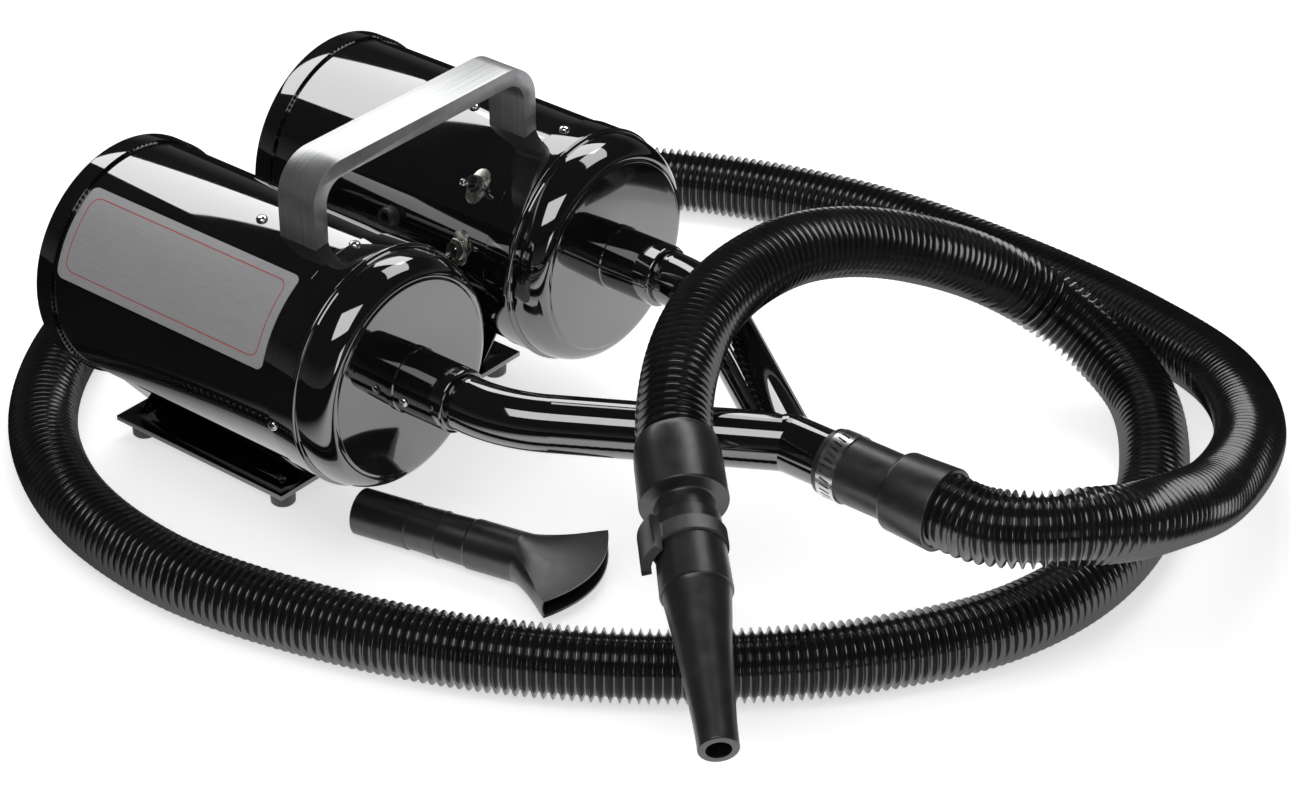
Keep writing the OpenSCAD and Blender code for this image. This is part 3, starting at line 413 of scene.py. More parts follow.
def make_hose():
    line = hose_line()
    total = float(distances(line)[-1])
    ribs = int(total / RIB_PITCH)
    pitch = total / ribs
    share, height = np.array(RIB_SHAPE).T
    places = np.append((np.arange(ribs)[:, None] + share) * pitch, total)
    radii = np.append(np.tile(HOSE_VALLEY_R + height * (HOSE_R - HOSE_VALLEY_R), ribs), HOSE_VALLEY_R)
    bore_places = np.linspace(total, 0, ribs // 2)
    bore_radii = np.full(len(bore_places), HOSE_BORE_R)
    rings = np.concatenate([hose_hoops(line, places, radii), hose_hoops(line, bore_places, bore_radii)])
    faces = grid_faces(len(rings), HOSE_SIDES, wrap_rows=True)
    hose = new_piece("ribbed_hose", rings.reshape(-1, 3), faces, HOSE, slot="hose_plastic", smooth=80)
    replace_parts(hose, "hose")
    return hose, line, total


hose_piece, hose_path, hose_length = make_hose()

# ---- Cans, caps and outlets --------------------------------------------------------------------

CAN_R, CAN_WALL, CAN_Y, CAN_Z = 89.0, 1.2, 112.5, 157.0
CAN_REAR_X, CAN_FRONT_X = -330.0, -74.0
FIT = 0.05


def on_can(side, x, above, radius):
    """A point that far from a can's axis, at that many degrees above the horizontal on its near side."""
    y = SIDES[side] * CAN_Y - radius * cos(radians(above))
    return Vector((x, y, CAN_Z + radius * sin(radians(above))))


def stand_on_can(side, x, above, radius):
    """Matrix that puts a piece drawn along +Z at that point, pointing straight out."""
    out = Vector((0, -cos(radians(above)), sin(radians(above))))
    turn = Vector((0, 0, 1)).rotation_difference(out).to_matrix().to_4x4()
    return Matrix.Translation(on_can(side, x, above, radius)) @ turn


def on_axis(side):
    return at(0, SIDES[side] * CAN_Y, CAN_Z)


def skin(node, profile, place, segments=192, smooth=32):
    """A smooth turned piece that stands in for a packed one, with the finish of its slot and its body."""
    slot_name = SLOT_OF[node]
    piece = lathe(f"{node}_skin", profile, place, SLOT_FINISH[slot_name], segments,
                  body=BODY_OF[node], slot=slot_name, smooth=smooth)
    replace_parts(piece, node)


CAP_LEN, CAP_WALL, SPIGOT_LEN = 30.0, 1.4, 26.0
SKIRT_LEN, SKIRT_OUT, CHAMFER_LEN, CHAMFER_H = 22.0, 1.3, 0.6, 0.4
BEAD_R, BEAD_W, BEAD_H, BEAD_SINK = 3.0, 2.0, 2.6, 0.4
FACE_R, FACE_STEP, FACE_CROWN, FACE_LIP, FACE_EDGE = 74.0, 5.0, 1.5, 1.2, 1.0
SHOULDER_LEN, SHOULDER_GAP, INNER_EDGE = 16.0, 0.8, 3.0
STUB_R, STUB_LEN, STUB_ROLL, ARM_INSERT = 23.8, 48.0, 2.0, 25.0
COLLAR_LEN, COLLAR_SLOPE, COLLAR_H = 3.0, 0.6, 0.9
FLANGE_T, FLANGE_OUT = 2.0, 5.0
PIPE_R = 20.5
FACE_X = CAN_FRONT_X + CAP_LEN
SHOULDER_X = FACE_X - FACE_STEP
CAN_INNER_R = CAN_R - CAN_WALL
BEAD_BASE_R, SPIGOT_R = CAN_R - BEAD_SINK, CAN_INNER_R - FIT
STUB_X = FACE_X + FACE_CROWN
STUB_END_X = STUB_X + STUB_LEN
FLANGE_X, FLANGE_R = STUB_X - CAP_WALL - SLIP, STUB_R + FLANGE_OUT
HOLE_R = STUB_R + FIT


def cap_slot():
    """The faces that hold the can's front edge, between the cap's spigot and its skirt."""
    return [(CAN_FRONT_X - SPIGOT_LEN, SPIGOT_R), (CAN_FRONT_X + FIT, SPIGOT_R),
            (CAN_FRONT_X + FIT, CAN_R + FIT), (CAN_FRONT_X - SKIRT_LEN, CAN_R + FIT)]


def cap_outside():
    """From the skirt's edge over the bead and the rolled shoulder to the edge of the face."""
    skirt_x, skirt_r = CAN_FRONT_X - SKIRT_LEN, CAN_R + SKIRT_OUT
    foot_x = CAN_FRONT_X + 2 * BEAD_W + SHOULDER_GAP
    roll_r = FACE_R + FACE_EDGE
    return [
        (skirt_x, skirt_r - CHAMFER_H), (skirt_x + CHAMFER_LEN, skirt_r), (CAN_FRONT_X - BEAD_W, skirt_r),
        *arc(CAN_FRONT_X + BEAD_W, BEAD_BASE_R, BEAD_W, BEAD_H, 150, 12, 20),
        *arc(foot_x, roll_r, FACE_X - FACE_LIP - foot_x, BEAD_BASE_R - roll_r, 90, 0, 48),
        (FACE_X - 0.75 * FACE_LIP, FACE_R + 0.4 * FACE_EDGE),
        *arc(FACE_X - FACE_EDGE, FACE_R - FACE_EDGE, FACE_EDGE, FACE_EDGE, 60, 0, 6),
    ]


def cap_face():
    """The slightly crowned face, from its edge in to the outlet's hole."""
    rim_r = FACE_R - 2 * FACE_EDGE
    return [(FACE_X + FACE_CROWN * (1 - t * t), HOLE_R + (rim_r - HOLE_R) * t)
            for t in np.linspace(0.95, 0, 16)]


def cap_inside():
    """The inner side of the face and the shoulder, back to the spigot's end."""
    return [
        (STUB_X - CAP_WALL, HOLE_R), (FACE_X - CAP_WALL, FACE_R - INNER_EDGE),
        (SHOULDER_X - CAP_WALL, FACE_R - CAP_WALL),
        *arc(SHOULDER_X - SHOULDER_LEN, FACE_R + INNER_EDGE - CAP_WALL, SHOULDER_LEN - CAP_WALL,
             BEAD_BASE_R - FACE_R - INNER_EDGE, 0, 90, 10),
        (CAN_FRONT_X + BEAD_R, SPIGOT_R - CAP_WALL), (CAN_FRONT_X - SPIGOT_LEN, SPIGOT_R - CAP_WALL),
    ]


CAN = [(CAN_REAR_X, CAN_INNER_R), (CAN_REAR_X, CAN_R), (CAN_FRONT_X, CAN_R), (CAN_FRONT_X, CAN_INNER_R)]
CAP = cap_slot() + cap_outside() + cap_face() + cap_inside()
OUTLET = [
    (FLANGE_X - FLANGE_T, PIPE_R + FIT), (FLANGE_X - FLANGE_T, FLANGE_R), (FLANGE_X, FLANGE_R),
    (FLANGE_X, STUB_R), (STUB_X + FIT, STUB_R), (STUB_X + FIT, STUB_R + COLLAR_H),
    (STUB_X + COLLAR_LEN, STUB_R + COLLAR_H), (STUB_X + COLLAR_LEN + COLLAR_SLOPE, STUB_R),
    (STUB_END_X - STUB_ROLL, STUB_R),
    *arc(STUB_END_X - STUB_ROLL, STUB_R - STUB_ROLL, STUB_ROLL, STUB_ROLL, 90, 30, 10),
    (STUB_END_X, PIPE_R + FIT),
]
for side in SIDES:
    skin(f"can_{side}", CAN, on_axis(side), 256)
    skin(f"cap_{side}", CAP, on_axis(side), 256, smooth=24)
    skin(f"outlet_{side}", OUTLET, on_axis(side), 128)

# ---- Y-pipe ------------------------------------------------------------------------------------

BEND_R, ARM_ANGLE, STEM_LEN, ELBOW_GAP = 100.0, 35.0, 63.0, 6.0
ELBOW_X, ARM_START_X = STUB_END_X + ELBOW_GAP, STUB_END_X - ARM_INSERT
STEM_DROP = CAN_Z - STEM_Z
ARM_TILT = atan2(STEM_DROP, CAN_Y)
ARM_COS, ARM_SIN = cos(radians(ARM_ANGLE)), sin(radians(ARM_ANGLE))
ARM_RUN = (sqrt(CAN_Y**2 + STEM_DROP**2) - BEND_R * (1 - ARM_COS)) / ARM_SIN
JUNCTION_X = ELBOW_X + BEND_R * ARM_SIN + ARM_RUN * ARM_COS
STEM_END_X = JUNCTION_X + STEM_LEN
WELD_H, ELBOW_WELD_W, RUN_WELD_W, SEAM_H = 0.15, 0.8, 1.0, 0.6
PIPE_SIDES, SEAM_RINGS = 96, 61


def tube(path, radii):
    """Points and faces of a closed pipe along a path, a ring square to it at each point."""
    path = np.array([tuple(q) for q in path], float)
    rings = hoops(path, np.gradient(path, axis=0), radii, PIPE_SIDES)
    return rings.reshape(-1, 3).tolist(), capped_faces(len(path), PIPE_SIDES)


def joined(*meshes):
    """One list of points and one of faces from several."""
    points, faces = [], []
    for more_points, more_faces in meshes:
        faces += [tuple(i + len(points) for i in f) for f in more_faces]
        points += more_points
    return points, faces


def arm_line():
    """The arm's line in its own plane, and how far a weld stands out at each of its points."""
    line = [(ARM_START_X, 0, 0), (ELBOW_X - 2 * ELBOW_WELD_W, 0, 0),
            (ELBOW_X - ELBOW_WELD_W, 0, WELD_H), (ELBOW_X, 0, 0)]
    for a in np.linspace(0, radians(ARM_ANGLE), 30)[1:]:
        line.append((ELBOW_X + BEND_R * sin(a), BEND_R * (1 - cos(a)), 0))
    x, y, _ = line[-1]
    for run, weld in ((RUN_WELD_W, WELD_H), (2 * RUN_WELD_W, 0), (ARM_RUN / 2, 0), (ARM_RUN, 0)):
        line.append((x + ARM_COS * run, y + ARM_SIN * run, weld))
    return line


def arm_tube(side):
    """One arm: a straight end, a bend with a thin weld at each end and a run to the junction."""
    tilt = at(0, -CAN_Y, CAN_Z) @ Matrix.Rotation(-ARM_TILT, 4, "X")
    near_path = [tilt @ Vector((x, y, 0)) for x, y, _ in arm_line()]
    path = [(q.x, -SIDES[side] * q.y, q.z) for q in near_path]
    return tube(path, [PIPE_R + weld for _, _, weld in arm_line()])


def seam():
    """The weld round the junction: a ball a little wider than the pipes."""
    profile = arc(0, 0, PIPE_R + SEAM_H, PIPE_R + SEAM_H, 179.5, 0.5, SEAM_RINGS - 1)
    points = [(JUNCTION_X + x, y, STEM_Z + z) for x, y, z in lathe_points(profile, PIPE_SIDES)]
    return points, capped_faces(SEAM_RINGS, PIPE_SIDES)


def make_y_pipe():
    stem = tube([(JUNCTION_X, 0, STEM_Z), (STEM_END_X, 0, STEM_Z)], [PIPE_R, PIPE_R])
    points, faces = joined(arm_tube("near"), arm_tube("far"), stem, seam())
    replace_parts(new_piece("y_pipe_skin", points, faces, GLOSS, slot=SLOT_OF["y_pipe"]), "y_pipe")


make_y_pipe()

# ---- Cuffs and cone nozzle ---------------------------------------------------------------------

NECK_R, NECK_LEN, NECK_GRIP, NECK_EDGE = 23.7, 56.0, 26.0, 0.8
CUFF_R, CUFF_TAPER, CUFF_ROLL, CUFF_EDGE = 29.7, 1.5, 5.0, 1.0
PIPE_WALL = 1.8
HOSE_FIT_R, THROUGH_R = HOSE_R + SLIP, PIPE_R - PIPE_WALL
CUFF_X = STEM_END_X - NECK_GRIP
WIDE_X = CUFF_X + NECK_LEN
MACHINE_CUFF = [
    (CUFF_X, PIPE_R + FIT), (CUFF_X, NECK_R - NECK_EDGE), (CUFF_X + NECK_EDGE, NECK_R), (WIDE_X, NECK_R),
    *arc(WIDE_X + CUFF_ROLL, CUFF_R - CUFF_TAPER - CUFF_ROLL, CUFF_ROLL, CUFF_ROLL, 170, 90, 12),
    *arc(CUFF_END_X - CUFF_EDGE, CUFF_R - CUFF_EDGE, CUFF_EDGE, CUFF_EDGE, 90, 0, 6),
    (CUFF_END_X, HOSE_FIT_R), (CUFF_END_X - HOSE_GRIP, HOSE_FIT_R), (CUFF_END_X - HOSE_GRIP, THROUGH_R),
    (STEM_END_X + SLIP, THROUGH_R), (STEM_END_X + SLIP, PIPE_R + FIT),
]
skin("machine_cuff", MACHINE_CUFF, at(0, 0, STEM_Z), 128, smooth=30)

HAND_CUFF_LEN, GRIP_R, GRIP_TAPER, GRIP_EDGE, GRIP_SLANT = 53.0, 30.4, 0.4, 1.4, 1.0
SWELL_LEN, SWELL_H, SWELL_LIP = 24.0, 2.6, 0.6
SPOUT_R, SPOUT_LEN, SPOUT_BORE_R, SPOUT_FILLET, SPOUT_EDGE = 20.0, 60.0, 17.75, 2.0, 1.0
NOZZLE_WALL, NOZZLE_GAP, SOCKET_LEN, SOCKET_FLARE, SOCKET_EDGE = 3.0, 15.0, 59.0, 1.4, 0.6
CONE_LEN, TIP_R, TIP_LEN, TIP_WALL, TIP_EDGE = 122.0, 13.5, 6.0, 5.0, 1.2
RING_W, RING_INSET = 11.0, 12.0
GRIP_END = HAND_CUFF_LEN - GRIP_SLANT - GRIP_EDGE
SPOUT_END = HAND_CUFF_LEN + SPOUT_LEN
NOZZLE_X = HAND_CUFF_LEN + NOZZLE_GAP
SOCKET_IN = SPOUT_R + FIT
SOCKET_R = SOCKET_IN + NOZZLE_WALL
SOCKET_END = NOZZLE_X + SOCKET_LEN
NOZZLE_END = SOCKET_END + CONE_LEN
RING_END = NOZZLE_X + RING_INSET + RING_W
CONE_START_R = SOCKET_R + SOCKET_FLARE
CONE_SHAPE = ((0.18, 7.0), (0.28, 5.6), (0.52, 3.2), (0.72, 1.4), (0.85, 0.4))
CONE_BORE = ((0.5, 0.4), (0.15, 3.6))
ON_NOZZLE = Matrix.Translation(HAND_POINT) @ NOZZLE_TURN


def eased(knots, n=6):
    """More points along an outline, eased so that its slope changes gently."""
    x, r = (np.array(v, float) for v in zip(*knots))
    slope = np.gradient(r, x)
    points = []
    for i, h in enumerate(np.diff(x)):
        radii = hermite(r[i], r[i + 1], h * slope[i], h * slope[i + 1], n)
        points += [(x[i] + h * k / n, radius) for k, radius in enumerate(radii)]
    return points + [(x[-1], r[-1])]


def along_cone(shape):
    """Points from shares of the cone's length and how much wider than the tip it is there."""
    return [(SOCKET_END + CONE_LEN * share, TIP_R + wider) for share, wider in shape]


HAND_CUFF = [
    (0, HOSE_FIT_R), (0, GRIP_R - SWELL_H),
    *arc(SWELL_LEN, GRIP_R - GRIP_TAPER - SWELL_H, SWELL_LEN - SWELL_LIP, SWELL_H, 170, 100, 16),
    (SWELL_LEN, GRIP_R - GRIP_TAPER), (GRIP_END - SWELL_LIP, GRIP_R),
    *arc(GRIP_END, GRIP_R - GRIP_EDGE, GRIP_EDGE, GRIP_EDGE, 90, 0, 6),
    (HAND_CUFF_LEN, SPOUT_R + SPOUT_FILLET),
    *arc(HAND_CUFF_LEN + SPOUT_FILLET, SPOUT_R + SPOUT_FILLET, SPOUT_FILLET, SPOUT_FILLET, 180, 270, 8),
    (SPOUT_END - SPOUT_EDGE, SPOUT_R), (SPOUT_END, SPOUT_R - SPOUT_EDGE), (SPOUT_END, SPOUT_BORE_R),
    (HOSE_GRIP, SPOUT_BORE_R), (HOSE_GRIP, HOSE_FIT_R),
]
CONE = eased([
    (SOCKET_END + 2, CONE_START_R - 1.6), (SOCKET_END + 0.08 * CONE_LEN, CONE_START_R - 2.6),
    *along_cone(CONE_SHAPE), (NOZZLE_END - TIP_LEN, TIP_R),
])
NOZZLE = [
    (NOZZLE_X, SOCKET_R - SOCKET_EDGE), (NOZZLE_X + SOCKET_EDGE, SOCKET_R), (RING_END, SOCKET_R),
    (RING_END + 1, SOCKET_R + SOCKET_EDGE), (SOCKET_END - 1, CONE_START_R), (SOCKET_END, CONE_START_R - 1),
    *CONE, *arc(NOZZLE_END - TIP_EDGE, TIP_R - TIP_EDGE, TIP_EDGE, TIP_EDGE, 90, 0, 6),
    (NOZZLE_END, TIP_R - TIP_WALL), *along_cone(CONE_BORE),
    (SOCKET_END - 2, SPOUT_BORE_R), (SPOUT_END + SLIP, SPOUT_BORE_R), (SPOUT_END + SLIP, SOCKET_IN),
    (NOZZLE_X, SOCKET_IN),
]
skin("hand_cuff", HAND_CUFF, ON_NOZZLE, 128)
skin("nozzle", NOZZLE, ON_NOZZLE, 128, smooth=24)

# ---- Fan nozzle: stepped plug, body and a fishtail with an arched mouth ------------------------

FAN_START, FAN_HEADING = (-102.0, -111.0), 12.7
PLUG_R, PLUG_LEN, STEP_LEN, BODY_R, BODY_LEN = 17.7, 45.0, 25.0, 18.9, 39.0
MOUTH_W, MOUTH_H, MOUTH_REACH, MOUTH_BULGE, FAN_WALL = 102.0, 15.0, 44.0, 16.0, 2.2
BODY_X = PLUG_LEN + 2 * STEP_LEN
TAIL_X = BODY_X + BODY_LEN
FAN_SIDES, TAIL_STEPS = 96, 20
MOUTH_WALL = 0.75 * FAN_WALL
FAN_OUTSIDE = [  # the plug with its two ridges, and the body
    (0, PLUG_R - 0.8), (0.8, PLUG_R), (PLUG_LEN - 0.4, PLUG_R), (PLUG_LEN, PLUG_R + 0.3),
    (PLUG_LEN + 0.8, PLUG_R - 0.7), (PLUG_LEN + STEP_LEN - 1, PLUG_R), (PLUG_LEN + STEP_LEN, PLUG_R + 0.4),
    (PLUG_LEN + STEP_LEN + 0.8, PLUG_R - 0.5), (BODY_X - 1, PLUG_R + 0.2), (BODY_X, BODY_R - 0.4),
    (BODY_X + 0.6, BODY_R), (TAIL_X - 0.5, BODY_R),
]


def fan_section(x, w, h, square, bulge=0.0):
    """A ring between an oval and, as square nears 1, a rectangle; its middle is pushed forward."""
    ring = []
    for k in range(FAN_SIDES):
        turn = 2 * pi * k / FAN_SIDES
        side, along_side = divmod(k / FAN_SIDES * 4 + 0.5, 1)
        step = 2 * along_side - 1
        corner_y, corner_z = ((1, step), (-step, 1), (-1, -step), (step, -1))[int(side) % 4]
        y = w * ((1 - square) * cos(turn) + square * corner_y)
        z = h * ((1 - square) * sin(turn) + square * corner_z)
        ring.append((x + bulge * (1 - (y / w)**2), y, z))
    return ring


def tail_sections(inset):
    """The fishtail from the body to the mouth, all its walls drawn in by the inset."""
    rings = []
    for t in np.linspace(0, 1, TAIL_STEPS):
        half_w = BODY_R + (MOUTH_W / 2 - BODY_R) * t**1.1
        half_h = MOUTH_H / 2 + (BODY_R - MOUTH_H / 2) * (1 - t)**1.9
        rings.append(fan_section(TAIL_X + MOUTH_REACH * t, half_w - inset, half_h - inset,
                                 0.93 * sin(pi / 2 * t)**1.3, MOUTH_BULGE * t**1.5))
    return rings


def make_fan_nozzle():
    bore_r = PLUG_R - FAN_WALL
    rings = [fan_section(x, r, r, 0) for x, r in FAN_OUTSIDE]
    rings += tail_sections(0) + tail_sections(MOUTH_WALL)[::-1]
    rings += [fan_section(x, bore_r, bore_r, 0) for x in (TAIL_X - 4, 0)]
    place = at(*FAN_START, BODY_R) @ Matrix.Rotation(radians(FAN_HEADING), 4, "Z")
    points = [place @ Vector(p) for ring in rings for p in ring]
    faces = grid_faces(len(rings), FAN_SIDES, wrap_rows=True)
    piece = new_piece("fan_nozzle_skin", points, faces, SATIN, slot=SLOT_OF["fan_nozzle"], smooth=26)
    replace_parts(piece, "fan_nozzle")


make_fan_nozzle()

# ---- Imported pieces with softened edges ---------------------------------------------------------


def softened(node, bevel=0.0, smooth=35, steps=2):
    """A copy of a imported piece, its facets smoothed and its sharp edges rounded."""
    mesh = NODES[node].data.copy()
    mesh.transform(NODES[node].matrix_world)
    work = bmesh.new()
    work.from_mesh(mesh)
    bmesh.ops.remove_doubles(work, verts=work.verts, dist=0.00003)
    if bevel:
        bmesh.ops.dissolve_limit(work, angle_limit=radians(0.7), verts=work.verts, edges=work.edges)
        sharp = [e for e in work.edges if len(e.link_faces) == 2 and e.calc_face_angle() > radians(40)]
        bmesh.ops.bevel(work, geom=sharp, offset=bevel * MM, segments=steps, profile=0.5, affect="EDGES",
                        clamp_overlap=True)
    bmesh.ops.recalc_face_normals(work, faces=work.faces)
    work.to_mesh(mesh)
    work.free()
    mesh.shade_smooth()
    mesh.set_sharp_from_angle(angle=radians(smooth))
    piece = bpy.data.objects.new(f"{node}_soft", mesh)
    scene.collection.objects.link(piece)
    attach(piece, BODY_OF[node])
    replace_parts(piece, node)


softened("handle", bevel=1.1, steps=3)
for node, bevel in (("base_plate", 0.5), ("lock_ring", 0.6), ("clamp_screw", 0.2), ("cord_gland", 0.3)):
    softened(node, bevel)
for side in SIDES:
    softened(f"saddle_{side}", 0.4)
    softened(f"rear_cover_{side}")
    for end in ("rear", "front"):
        softened(f"foot_{end}_{side}")
for level in ("upper", "lower"):
    softened(f"switch_nut_{level}", 0.35)
    softened(f"switch_plate_{level}", 0.25)
    softened(f"switch_lever_{level}")

# ---- Screws ----------------------------------------------------------------------------------

PAN_SCREW = [(0.0, 4.1), (0.5, 4.3), (1.2, 4.1), (2.0, 3.4), (2.6, 2.2), (2.8, 1.0)]  # height, radius
SCREW_SIDES = 32
RECESS_W, RECESS_L, RECESS_DEEP, RECESS_Z = 0.9, 4.2, 1.6, 2.9


def cut_recess(head):
    """Cuts a cross into the top of a screw's head."""
    for size in ((RECESS_L, RECESS_W), (RECESS_W, RECESS_L)):
        bpy.ops.mesh.primitive_cube_add(size=1, location=(0, 0, RECESS_Z * MM))
        cutter = bpy.context.object
        cutter.scale = (size[0] * MM, size[1] * MM, RECESS_DEEP * MM)
        cut = head.modifiers.new("cut", "BOOLEAN")
        cut.operation, cut.solver, cut.object = "DIFFERENCE", "EXACT", cutter
        with bpy.context.temp_override(object=head, active_object=head, selected_objects=[head]):
            bpy.ops.object.modifier_apply(modifier="cut")
        bpy.data.objects.remove(cutter)


def screw_mesh():
    """Pan head with a cross recess, drawn along +Z."""
    turns = [2 * pi * k / SCREW_SIDES for k in range(SCREW_SIDES)]
    points = [(r * cos(t), r * sin(t), h) for h, r in PAN_SCREW for t in turns]
    data = new_mesh("pan_screw", points, capped_faces(len(PAN_SCREW), SCREW_SIDES))
    head = bpy.data.objects.new("pan_screw_form", data)
    scene.collection.objects.link(head)
    cut_recess(head)
    mesh = head.data
    bpy.data.objects.remove(head)
    mesh.shade_smooth()
    mesh.set_sharp_from_angle(angle=radians(30))
    return mesh


SCREW = screw_mesh()


def screw(name, place, material=CHROME, size=1.0, spin=20):
    piece = bpy.data.objects.new(name, SCREW.copy())
    scene.collection.objects.link(piece)
    piece.data.materials.clear()
    piece.data.materials.append(material)
    spun = place @ Matrix.Rotation(radians(spin), 4, "Z")
    shift = Matrix.Translation(spun.translation * MM)
    piece.data.transform(shift @ spun.to_3x3().to_4x4() @ Matrix.Scale(size, 4))
    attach(piece, "dryer")


PLATE_TOP = 18.0
PLATE_SCREWS = ((-333, -112), (-182, -115), (-333, 112), (-182, 115))
CAN_SCREW_X, CAN_SCREW_ABOVE = -171.5, 82
CAP_TOP_X, CAP_SIDE_X = -92.7, -93.3
STUB_SCREW_X, RIVET_X, RIVET_ABOVE = -29.0, STUB_END_X - 8, 8
OUTER_ABOVE = {"near": (-10, -6), "far": (190, 186)}  # degrees of the cap's and the stub's outer screw


def make_screws():
    for k, (x, y) in enumerate(PLATE_SCREWS):
        screw(f"plate_screw_{k}", at(x, y, PLATE_TOP), GLOSS, size=0.6, spin=25 * k)
    skirt_r = CAN_R + SKIRT_OUT
    for side in SIDES:
        cap_above, stub_above = OUTER_ABOVE[side]
        screw(f"can_screw_{side}", stand_on_can(side, CAN_SCREW_X, CAN_SCREW_ABOVE, CAN_R), spin=35)
        screw(f"cap_screw_top_{side}", stand_on_can(side, CAP_TOP_X, 90, skirt_r), spin=10)
        screw(f"cap_screw_side_{side}", stand_on_can(side, CAP_SIDE_X, cap_above, skirt_r),
              size=0.9, spin=cap_above)
        screw(f"stub_screw_{side}", stand_on_can(side, STUB_SCREW_X, stub_above, STUB_R), size=0.85, spin=15)
        screw(f"stub_rivet_{side}", stand_on_can(side, RIVET_X, RIVET_ABOVE, STUB_R), GLOSS, size=0.4)


make_screws()

# ---- Label: a bare plate with a thin line round it --------------------------------------------

LABEL_X, LABEL_ABOVE = (-313.0, -104.0), (15.0, 62.0)
LABEL_S = tuple(radians(a) * CAN_R for a in LABEL_ABOVE)
LABEL_T, LABEL_CORNER, LABEL_ROWS = 0.25, 6.0, 28
LINE_INSET, LINE_W, LINE_CORNER, LINE_LIFT = 7.0, 0.7, 8.0, (0.02, 0.06)
CORNER_STEPS, MIDDLE_STEPS = 8, 40


def on_label(x, s, lift):
    """A point s round the near can from its side, that far off its skin."""
    return on_can("near", x, degrees(s / CAN_R), CAN_R + lift)


def label_columns():
    """Places along the label, close together where its corners are round."""
    x0, x1 = LABEL_X
    bends = [LABEL_CORNER * (1 - cos(pi / 2 * i / CORNER_STEPS)) for i in range(CORNER_STEPS + 1)]
    middle = np.linspace(x0 + LABEL_CORNER, x1 - LABEL_CORNER, MIDDLE_STEPS + 1)[1:-1]
    return [x0 + b for b in bends] + list(middle) + [x1 - b for b in bends[::-1]]


def corner_cut(x):
    """How far the round corners take the label's long edges in at that place."""
    short = LABEL_CORNER - min(x - LABEL_X[0], LABEL_X[1] - x)
    return LABEL_CORNER - sqrt(max(LABEL_CORNER**2 - max(short, 0)**2, 0))


def label_face(lift):
    points = []
    for x in label_columns():
        cut = corner_cut(x)
        rows = np.linspace(LABEL_S[0] + cut, LABEL_S[1] - cut, LABEL_ROWS)
        points += [on_label(x, s, lift) for s in rows]
    return points


def label_plate():
    """A thin plate bent round the can: two faces and the edge between them."""
    columns, rows = len(label_columns()), LABEL_ROWS
    count = columns * rows
    under = grid_faces(columns, rows, wrap_columns=False)
    over = grid_faces(columns, rows, wrap_columns=False, base=count)
    rim = [i * rows for i in range(columns)] + [(columns - 1) * rows + j for j in range(1, rows)]
    rim += [i * rows + rows - 1 for i in range(columns - 2, -1, -1)] + list(range(rows - 2, 0, -1))
    edge = [(a, b, b + count, a + count) for a, b in zip(rim, rim[1:] + rim[:1])]
    points = label_face(FIT) + label_face(FIT + LABEL_T)
    new_piece("label_plate", points, under + over + edge, FOIL, slot="brushed_aluminium")


def line_outline(inset):
    """Points round the label that far in from its edge, no two further apart than refine's step."""
    x0, x1 = LABEL_X[0] + inset, LABEL_X[1] - inset
    s0, s1 = LABEL_S[0] + inset, LABEL_S[1] - inset
    corner = LINE_CORNER - inset + LINE_INSET
    points = []
    for x, s, start in ((x1 - corner, s1 - corner, 0), (x0 + corner, s1 - corner, 90),
                        (x0 + corner, s0 + corner, 180), (x1 - corner, s0 + corner, 270)):
        points += arc(x, s, corner, corner, start, start + 90, 12)
    return refine(points)


def refine(outline, step=4.0):
    """The same outline with no two points further apart than the step."""
    points = []
    for (x, s), (u, v) in zip(outline, outline[1:] + outline[:1]):
        parts = max(1, int(max(abs(u - x), abs(v - s)) / step))
        points += [(x + (u - x) * i / parts, s + (v - s) * i / parts) for i in range(parts)]
    return points


def label_line():
    """A thin raised line round the label."""
    low, high = LINE_LIFT
    outer, inner = LINE_INSET, LINE_INSET + LINE_W
    points = []
    for inset, lift in ((outer, low), (outer, high), (inner, high), (inner, low)):
        points += [on_label(x, s, FIT + LABEL_T + lift) for x, s in line_outline(inset)]
    faces = grid_faces(4, len(points) // 4, wrap_rows=True)
    new_piece("label_line", points, faces, RED, slot="brushed_aluminium")


label_plate()
label_line()

# ---- Stage, lights and world, in metres --------------------------------------------------------

FLOOR_HALF, FLOOR_MIDDLE = 12.0, (0.0, 0.1)
FLOOR_GLOW = 0.6
TABLE_MIDDLE, TABLE_R = (0.28, 0.28, 0.0), (0.62, 0.85)
WHITE, STUDIO_DARK = (1, 1, 1, 1), (0.015, 0.015, 0.016, 1)
FILL, HORIZON, ZENITH = (0.42, 0.42, 0.43, 1), (0.10, 0.10, 0.105, 1), (0.018, 0.018, 0.019, 1)
SOFTBOXES = {  # centre, aim, width, height, watts
    "box_rear_left": ((-0.487, 0.122, 0.503), (-0.114, 0.004, 0.163), 0.43, 0.155, 0.72),
    "box_rear": ((-0.34, 0.44, 0.75), (0.1, -0.07, 0.15), 0.40, 0.28, 1.1),
    "box_above": ((0.02, 0.62, 1.15), (0.0, 0.0, 0.2), 0.60, 0.50, 2.3),
    "box_near": ((0.35, -0.70, 1.25), (0.0, -0.1, 0.2), 0.90, 0.62, 5.0),
    "box_front": ((1.5, -0.8, 0.45), (0.1, 0.0, 0.15), 0.35, 0.5, 1.4),
}


def plug(tree, value, socket):
    """Feeds a socket from another node's output, or sets it to a plain value."""
    if isinstance(value, bpy.types.NodeSocket):
        tree.links.new(value, socket)
    else:
        socket.default_value = value


def maths(tree, operation, a, b):
    node = tree.nodes.new("ShaderNodeMath")
    node.operation = operation
    plug(tree, a, node.inputs[0])
    plug(tree, b, node.inputs[1])
    return node.outputs[0]


